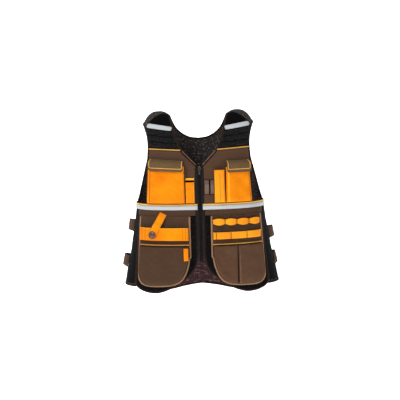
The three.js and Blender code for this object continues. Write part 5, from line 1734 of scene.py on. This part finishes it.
        self.maker.cloth("hammer strap cloth", (24, 72), strap, 1.8, ORANGE, ["hammer_strap"], "hung")
        for shift in (-10.0, 10.0):
            along = np.linspace(0.03, reach - 0.12, 50)
            spot = start + ahead * (along * span)[:, None] + beside * shift
            self.stitch("pale", *self.front_path(-1, spot[:, 0], spot[:, 1], rise(along) + 3.2))
        self.snap(stop)

    def label_tab(self) -> None:
        """Small straight tab at the top of the right cargo pocket."""
        cargo = Outline(
            lambda u: self.bottom(u, self.pocket_inset), self.level(self.cargo_top, self.pocket_inset),
            self.board, 14.0, mouth=0.85, creases=0,
        )  # fmt: skip

        def label(u: Shares, v: Shares) -> np.ndarray:
            """Spots on the tab."""
            out = cargo.lift(np.full_like(u, 0.1), 0.5 + 0 * u, 1 + 0 * u, 1 + 0 * u)
            return FORM.over(-1, mix(42.0, 56.5, u), mix(487.0, 446.0, v), np.maximum(out, 17.0) + 1.5)

        self.maker.cloth("label tab cloth", (10, 28), label, 1.0, ORANGE, ["label_tab"], "hung")

    def snap(self, middle: np.ndarray) -> None:
        """Round press stud turned from a profile, with a ring and a shallow dome."""
        points, normals = self.front_path(-1, np.array([middle[0]]), np.array([middle[1]]), 17.4)
        profile = (
            (0.0, 3.1), (4.5, 2.9), (8.0, 2.2), (8.6, 1.6), (9.2, 1.6), (9.8, 2.6), (11.4, 3.0),
            (12.6, 2.4), (13.0, 0.0),
        )  # fmt: skip
        mesh = Maker.blank()
        spots = [mesh.verts.new((radius, 0, height)) for radius, height in profile]
        edges = [mesh.edges.new(pair) for pair in zip(spots, spots[1:])]
        bmesh.ops.spin(
            mesh, geom=[*spots, *edges], axis=(0, 0, 1), cent=(0, 0, 0), angle=2 * math.pi, steps=48,
            use_merge=True,
        )  # fmt: skip
        bmesh.ops.remove_doubles(mesh, verts=mesh.verts, dist=0.01)
        turn = Vector((0, 0, 1)).rotation_difference(Vector(normals[0])).to_matrix()
        for vert in mesh.verts:
            vert.co = turn @ vert.co + Vector(points[0])
        bmesh.ops.recalc_face_normals(mesh, faces=mesh.faces)
        self.turn(mesh, Vector(normals[0]))
        self.maker.add("strap stud", mesh, SNAP, ["strap_snap"])

    @staticmethod
    def turn(mesh: bmesh.types.BMesh, out: Vector) -> None:
        """Turn an open cap's faces outward."""
        mesh.normal_update()
        if sum(face.normal.dot(out) * face.calc_area() for face in mesh.faces) < 0:
            bmesh.ops.reverse_faces(mesh, faces=mesh.faces)

    def left_pouch_top(self) -> None:
        """Tape sewn down into tool loops, and the row of pen pockets."""
        first, last = self.pens_inner, self.pens_outer
        ends = np.array([first, 79.0, 117.0, 156.0, 191.0])
        walls = np.array([first, 50.0, 97.0, 148.0, last])

        def puff(x: Shares, stations: np.ndarray, power: float) -> Shares:
            """Swell between two neighbouring stations."""
            i = np.clip(np.searchsorted(stations, x, side="right") - 1, 0, len(stations) - 2)
            share = np.clip((x - stations[i]) / (stations[i + 1] - stations[i]), 0, 1)
            return np.maximum(np.sin(np.pi * share), 0) ** power

        def tape(u: Shares, v: Shares) -> np.ndarray:
            """Spots on the looped tape."""
            x = mix(ends[0], ends[-1], u)
            out = puff(x, ends, 0.7)
            drop = 362.5 + mix(11.5, 22.0, out) * (0.5 - v) + 3 * u
            edge = 0.3 * (ease(0.14, 0.06, v) + ease(0.86, 0.94, v))
            return FORM.over(1, x, drop, 5.4 + 9.0 * out + edge)

        self.maker.cloth("tool loops", (144, 12), tape, 1.8, SOFT_ORANGE, ["loop_tape"])
        # Dark marks of painted shade where the tape is sewn down between loops.
        for x in ends[1:-1]:
            drops = np.linspace(357, 369, 8)
            spots = self.front_path(1, np.full_like(drops, x), drops, 7.0)
            self.line(f"loop gap {x:.0f}", spots, cord_section(3.2, 0.8), ORANGE_PAINTED_SHADE)
        pens = Outline(
            self.straight(first, last, 420), self.straight(first, last, 397), self.board, 10.0,
            lambda e: 0.4 + 0.6 * puff(mix(first, last, e), walls, 0.45),
            hem=4.5, creases=0.2, corner=6.0, side=0.04,
        )  # fmt: skip
        self.pocket("pen pockets cloth", 1, pens, SOFT_ORANGE, ["pen_pockets"], (180, 24))
        f = np.linspace(0.02, 0.98, 20)
        # Dark cords of painted shade in the gaps between the pen pockets.
        for x in walls[1:-1]:
            e = (x - first) / (last - first)
            spots = self.face(1, pens, np.full_like(f, e), f, 1.4)
            self.line(f"pen division {x:.0f}", spots, cord_section(3.0, 0.8), ORANGE_PAINTED_SHADE)
        for drop in (390.5, 393.5):
            self.line_stitches("pale", 1, (first + 2, last - 2), (drop, drop), 3.1)
        e = np.linspace(0.01, 0.99, 150)
        spots = self.face(1, pens, e, np.full_like(e, 0.975), 0.0)
        self.line("pen rim", spots, cord_section(1.5, 0.6), PALE_ORANGE_AND_HIGHLIGHT)

    def side_straps(self) -> None:
        """Webbing loops at the sides."""
        straps = (
            ("right_upper_side_strap", -1, 384.0, 12.0, 24.0),
            ("right_lower_side_strap", -1, 506.0, 12.0, 23.0),
            ("left_upper_side_strap", 1, 418.0, 12.0, 22.0),
            ("left_lower_side_strap", 1, 506.0, 10.0, 12.0),
        )
        for name, sign, drop, droop, bulge in straps:

            def strap(u: Shares, v: Shares) -> np.ndarray:
                """Spots on the strap of this turn."""
                angle = mix(84.0, 122.0, u)
                sag = droop * np.sin(np.pi / 2 * u) ** 2
                lift = 2.6 + bulge * np.sin(np.pi * np.clip((u - 0.06) / 0.89, 0, 1)) ** 0.75
                return FORM.lifted(sign * angle, drop + sag + 38.0 * (0.5 - v), lift)

            self.maker.cloth(name.replace("_", " ") + " web", (64, 12), strap, 1.8, SIDE_WEB, [name])

    def build(self) -> None:
        """Make every sewn-on piece."""
        self.chest_pocket(Side.RIGHT, 50, 165, 175.0, 179.0, "right pocket cloth")
        self.chest_pocket(Side.LEFT, 86, 161, 185.0, 186.0, "left pocket cloth")
        self.flap(Side.RIGHT, 52, 158, 153, 9)
        self.flap(Side.LEFT, 87, 160, 163, 1)
        self.sleeves()
        for side in Side:
            self.pouch(side)
        self.right_pouch_top()
        self.left_pouch_top()
        self.side_straps()


@dataclass
class Zip(PieceKit):
    """Closed zip down the front with its slider and pull.

    Attributes:
        top: Drop of the teeth's upper end.
        bottom: Drop of their lower end.
        middle: Distance from the centre that stands for the centre line, where 0 has no side.
    """

    top: float = 194.0
    bottom: float = 492.0
    middle: float = 0.02

    def tapes(self) -> None:
        """Woven tapes beside the teeth."""
        for side in Side:

            def tape(u: Shares, v: Shares) -> np.ndarray:
                """Spots on the tape of this turn."""
                return FORM.over(side.value, mix(2.9, 7.6, u), mix(self.bottom, self.top, v), -0.6 + 0 * u)

            self.maker.cloth(f"{side.word} tape", (6, 60), tape, 1.0, ZIP_BLACK, [f"{side.word}_zip_tape"])
        drops = np.linspace(self.top + 0.5, self.bottom - 0.5, 60)
        spots = self.front_path(1, np.full_like(drops, self.middle), drops, -2.6)
        self.line("zip backing", spots, tape_section(14.5, 0.0, 0.6), PAINTED_SHADE_AND_BACKING)

    def teeth(self) -> None:
        """Two rows of small interlocked teeth."""
        mesh = Maker.blank()
        drops = np.arange(self.top + 0.6, self.bottom, 1.9)
        points, normals = self.front_path(1, np.full_like(drops, self.middle), drops, -0.7)
        for k, (point, normal) in enumerate(zip(points, normals)):
            made = bmesh.ops.create_cube(mesh, size=1.0)["verts"]
            shift = 0.55 if k % 2 else -0.55
            turn = Vector((0, -1, 0)).rotation_difference(Vector(normal)).to_matrix()
            for vert in made:
                spot = Vector((vert.co.x * 3.8 + shift, vert.co.y * 2.0, vert.co.z * 1.35))
                vert.co = turn @ spot + Vector(point)
        self.maker.add("teeth", mesh, ZIP_BLACK, ["zip_teeth"])

    def plate(
        self, name: str, top: float, size: tuple[float, float, float], lift: float, finish: Finish, node: str
    ) -> None:
        """Bevelled plate that hangs on the zip.

        Args:
            name: Name of the piece.
            top: Drop of the upper end.
            size: Width, height and thickness.
            lift: Height over the form.
            finish: Look of the metal.
            node: CAD node that it stands for.
        """
        wide, tall, thick = size
        mesh = Maker.blank()
        bmesh.ops.create_cube(mesh, size=1.0)
        bmesh.ops.scale(mesh, vec=(wide, thick, tall), verts=mesh.verts)
        bmesh.ops.bevel(
            mesh, geom=list(mesh.edges), offset=min(thick * 0.35, wide * 0.2), segments=4, profile=0.5,
            affect="EDGES", material=-1,
        )  # fmt: skip
        points, normals = self.front_path(1, np.array([self.middle]), np.array([top + tall / 2]), lift)
        turn = Vector((0, -1, 0)).rotation_difference(Vector(normals[0])).to_matrix()
        for vert in mesh.verts:
            vert.co = turn @ vert.co + Vector(points[0])
        self.maker.add(name, mesh, finish, [node])

    def build(self) -> None:
        """Make the zip."""
        self.tapes()
        self.teeth()
        self.plate("slider body", 181.5, (8.6, 12.6, 3.4), 0.2, METAL, "zip_slider")
        self.plate("pull tab", 186.0, (5.4, 22.5, 1.5), 3.2, PULL, "zip_pull")


# Stage, light and camera


@dataclass(frozen=True)
class Studio:
    """White studio with soft light and the photographed view."""

    distance: float = 2.6
    elevation: float = 7.0
    roll: float = 1.5
    aim: float = -0.3045
    lens: float = 68.8

    def backdrop(self) -> None:
        """Floor that curves up behind the vest."""
        mesh = bmesh.new()
        rows = [(-6.0, -0.95), (3.6, -0.95)]
        turns = np.linspace(0.1, math.pi / 2, 12)
        rows += [(3.6 + 0.8 * math.sin(t), -0.15 - 0.8 * math.cos(t)) for t in turns]
        rows += [(4.4, 6.0)]
        left = [mesh.verts.new((-8, y, z)) for y, z in rows]
        right = [mesh.verts.new((8, y, z)) for y, z in rows]
        for near, far in zip(zip(left, right), zip(left[1:], right[1:])):
            face = mesh.faces.new((near[0], near[1], far[1], far[0]))
            face.smooth = True
        data = bpy.data.meshes.new("Backdrop")
        mesh.to_mesh(data)
        mesh.free()
        paper = bpy.data.materials.new("Studio paper")
        paper.use_nodes = True
        shader = paper.node_tree.nodes["Principled BSDF"]
        white = (1.0, 1.0, 1.0, 1.0)
        Looks.set_inputs(shader, {"Base Color": white, "Roughness": 1.0})
        Looks.set_inputs(shader, {"Emission Color": white, "Emission Strength": 1.0})
        data.materials.append(paper)
        piece = bpy.data.objects.new("Backdrop", data)
        bpy.context.scene.collection.objects.link(piece)

    def lamp(self, name: str, spot: tuple[float, float, float], size: float, power: float) -> None:
        """Square soft light that faces the vest."""
        light = bpy.data.lights.new(name, "AREA")
        light.size = size
        light.energy = power
        lamp = bpy.data.objects.new(name, light)
        lamp.location = spot
        lamp.rotation_euler = (Vector((0, 0, -0.3)) - Vector(spot)).to_track_quat("-Z", "Y").to_euler()
        bpy.context.scene.collection.objects.link(lamp)

    def camera(self) -> None:
        """Camera of the photograph."""
        lift = math.radians(self.elevation)
        away = Vector((0, -math.cos(lift), math.sin(lift)))
        data = bpy.data.cameras.new("Camera")
        data.lens = self.lens
        data.sensor_width = 36
        camera = bpy.data.objects.new("Camera", data)
        camera.location = Vector((0, 0, self.aim)) + away * self.distance
        turn = (-away).to_track_quat("-Z", "Y")
        camera.rotation_mode = "QUATERNION"
        roll = Quaternion((0, 0, 1), math.radians(-self.roll))
        camera.rotation_quaternion = turn @ roll
        bpy.context.scene.collection.objects.link(camera)
        bpy.context.scene.camera = camera

    def build(self) -> None:
        """Set the stage, the lights and the camera."""
        self.backdrop()
        self.lamp("Key", (-1.5, -1.9, 1.9), 0.9, 56)
        self.lamp("Fill", (1.9, -2.0, 0.2), 1.6, 10)
        self.lamp("Top", (0.0, 0.2, 2.2), 1.4, 17)
        world = bpy.data.worlds.new("Studio air")
        world.use_nodes = True
        world.node_tree.nodes["Background"].inputs["Color"].default_value = (1, 1, 1, 1)
        world.node_tree.nodes["Background"].inputs["Strength"].default_value = 0.19
        bpy.context.scene.world = world
        bpy.context.scene.view_settings.view_transform = "Standard"
        self.camera()


def main() -> None:
    """Load the frame, dress it and set the studio."""
    logging.basicConfig(level=logging.INFO, format="%(message)s")
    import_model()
    maker = Maker(Looks())
    kit = PieceKit(maker)
    Body(maker).build()
    Pockets(maker).build()
    Zip(maker).build()
    kit.lay_threads({"brown": THREAD, "orange": ORANGE_THREAD, "pale": PALE_THREAD})
    Studio().build()


if __name__ == "__main__":
    main()
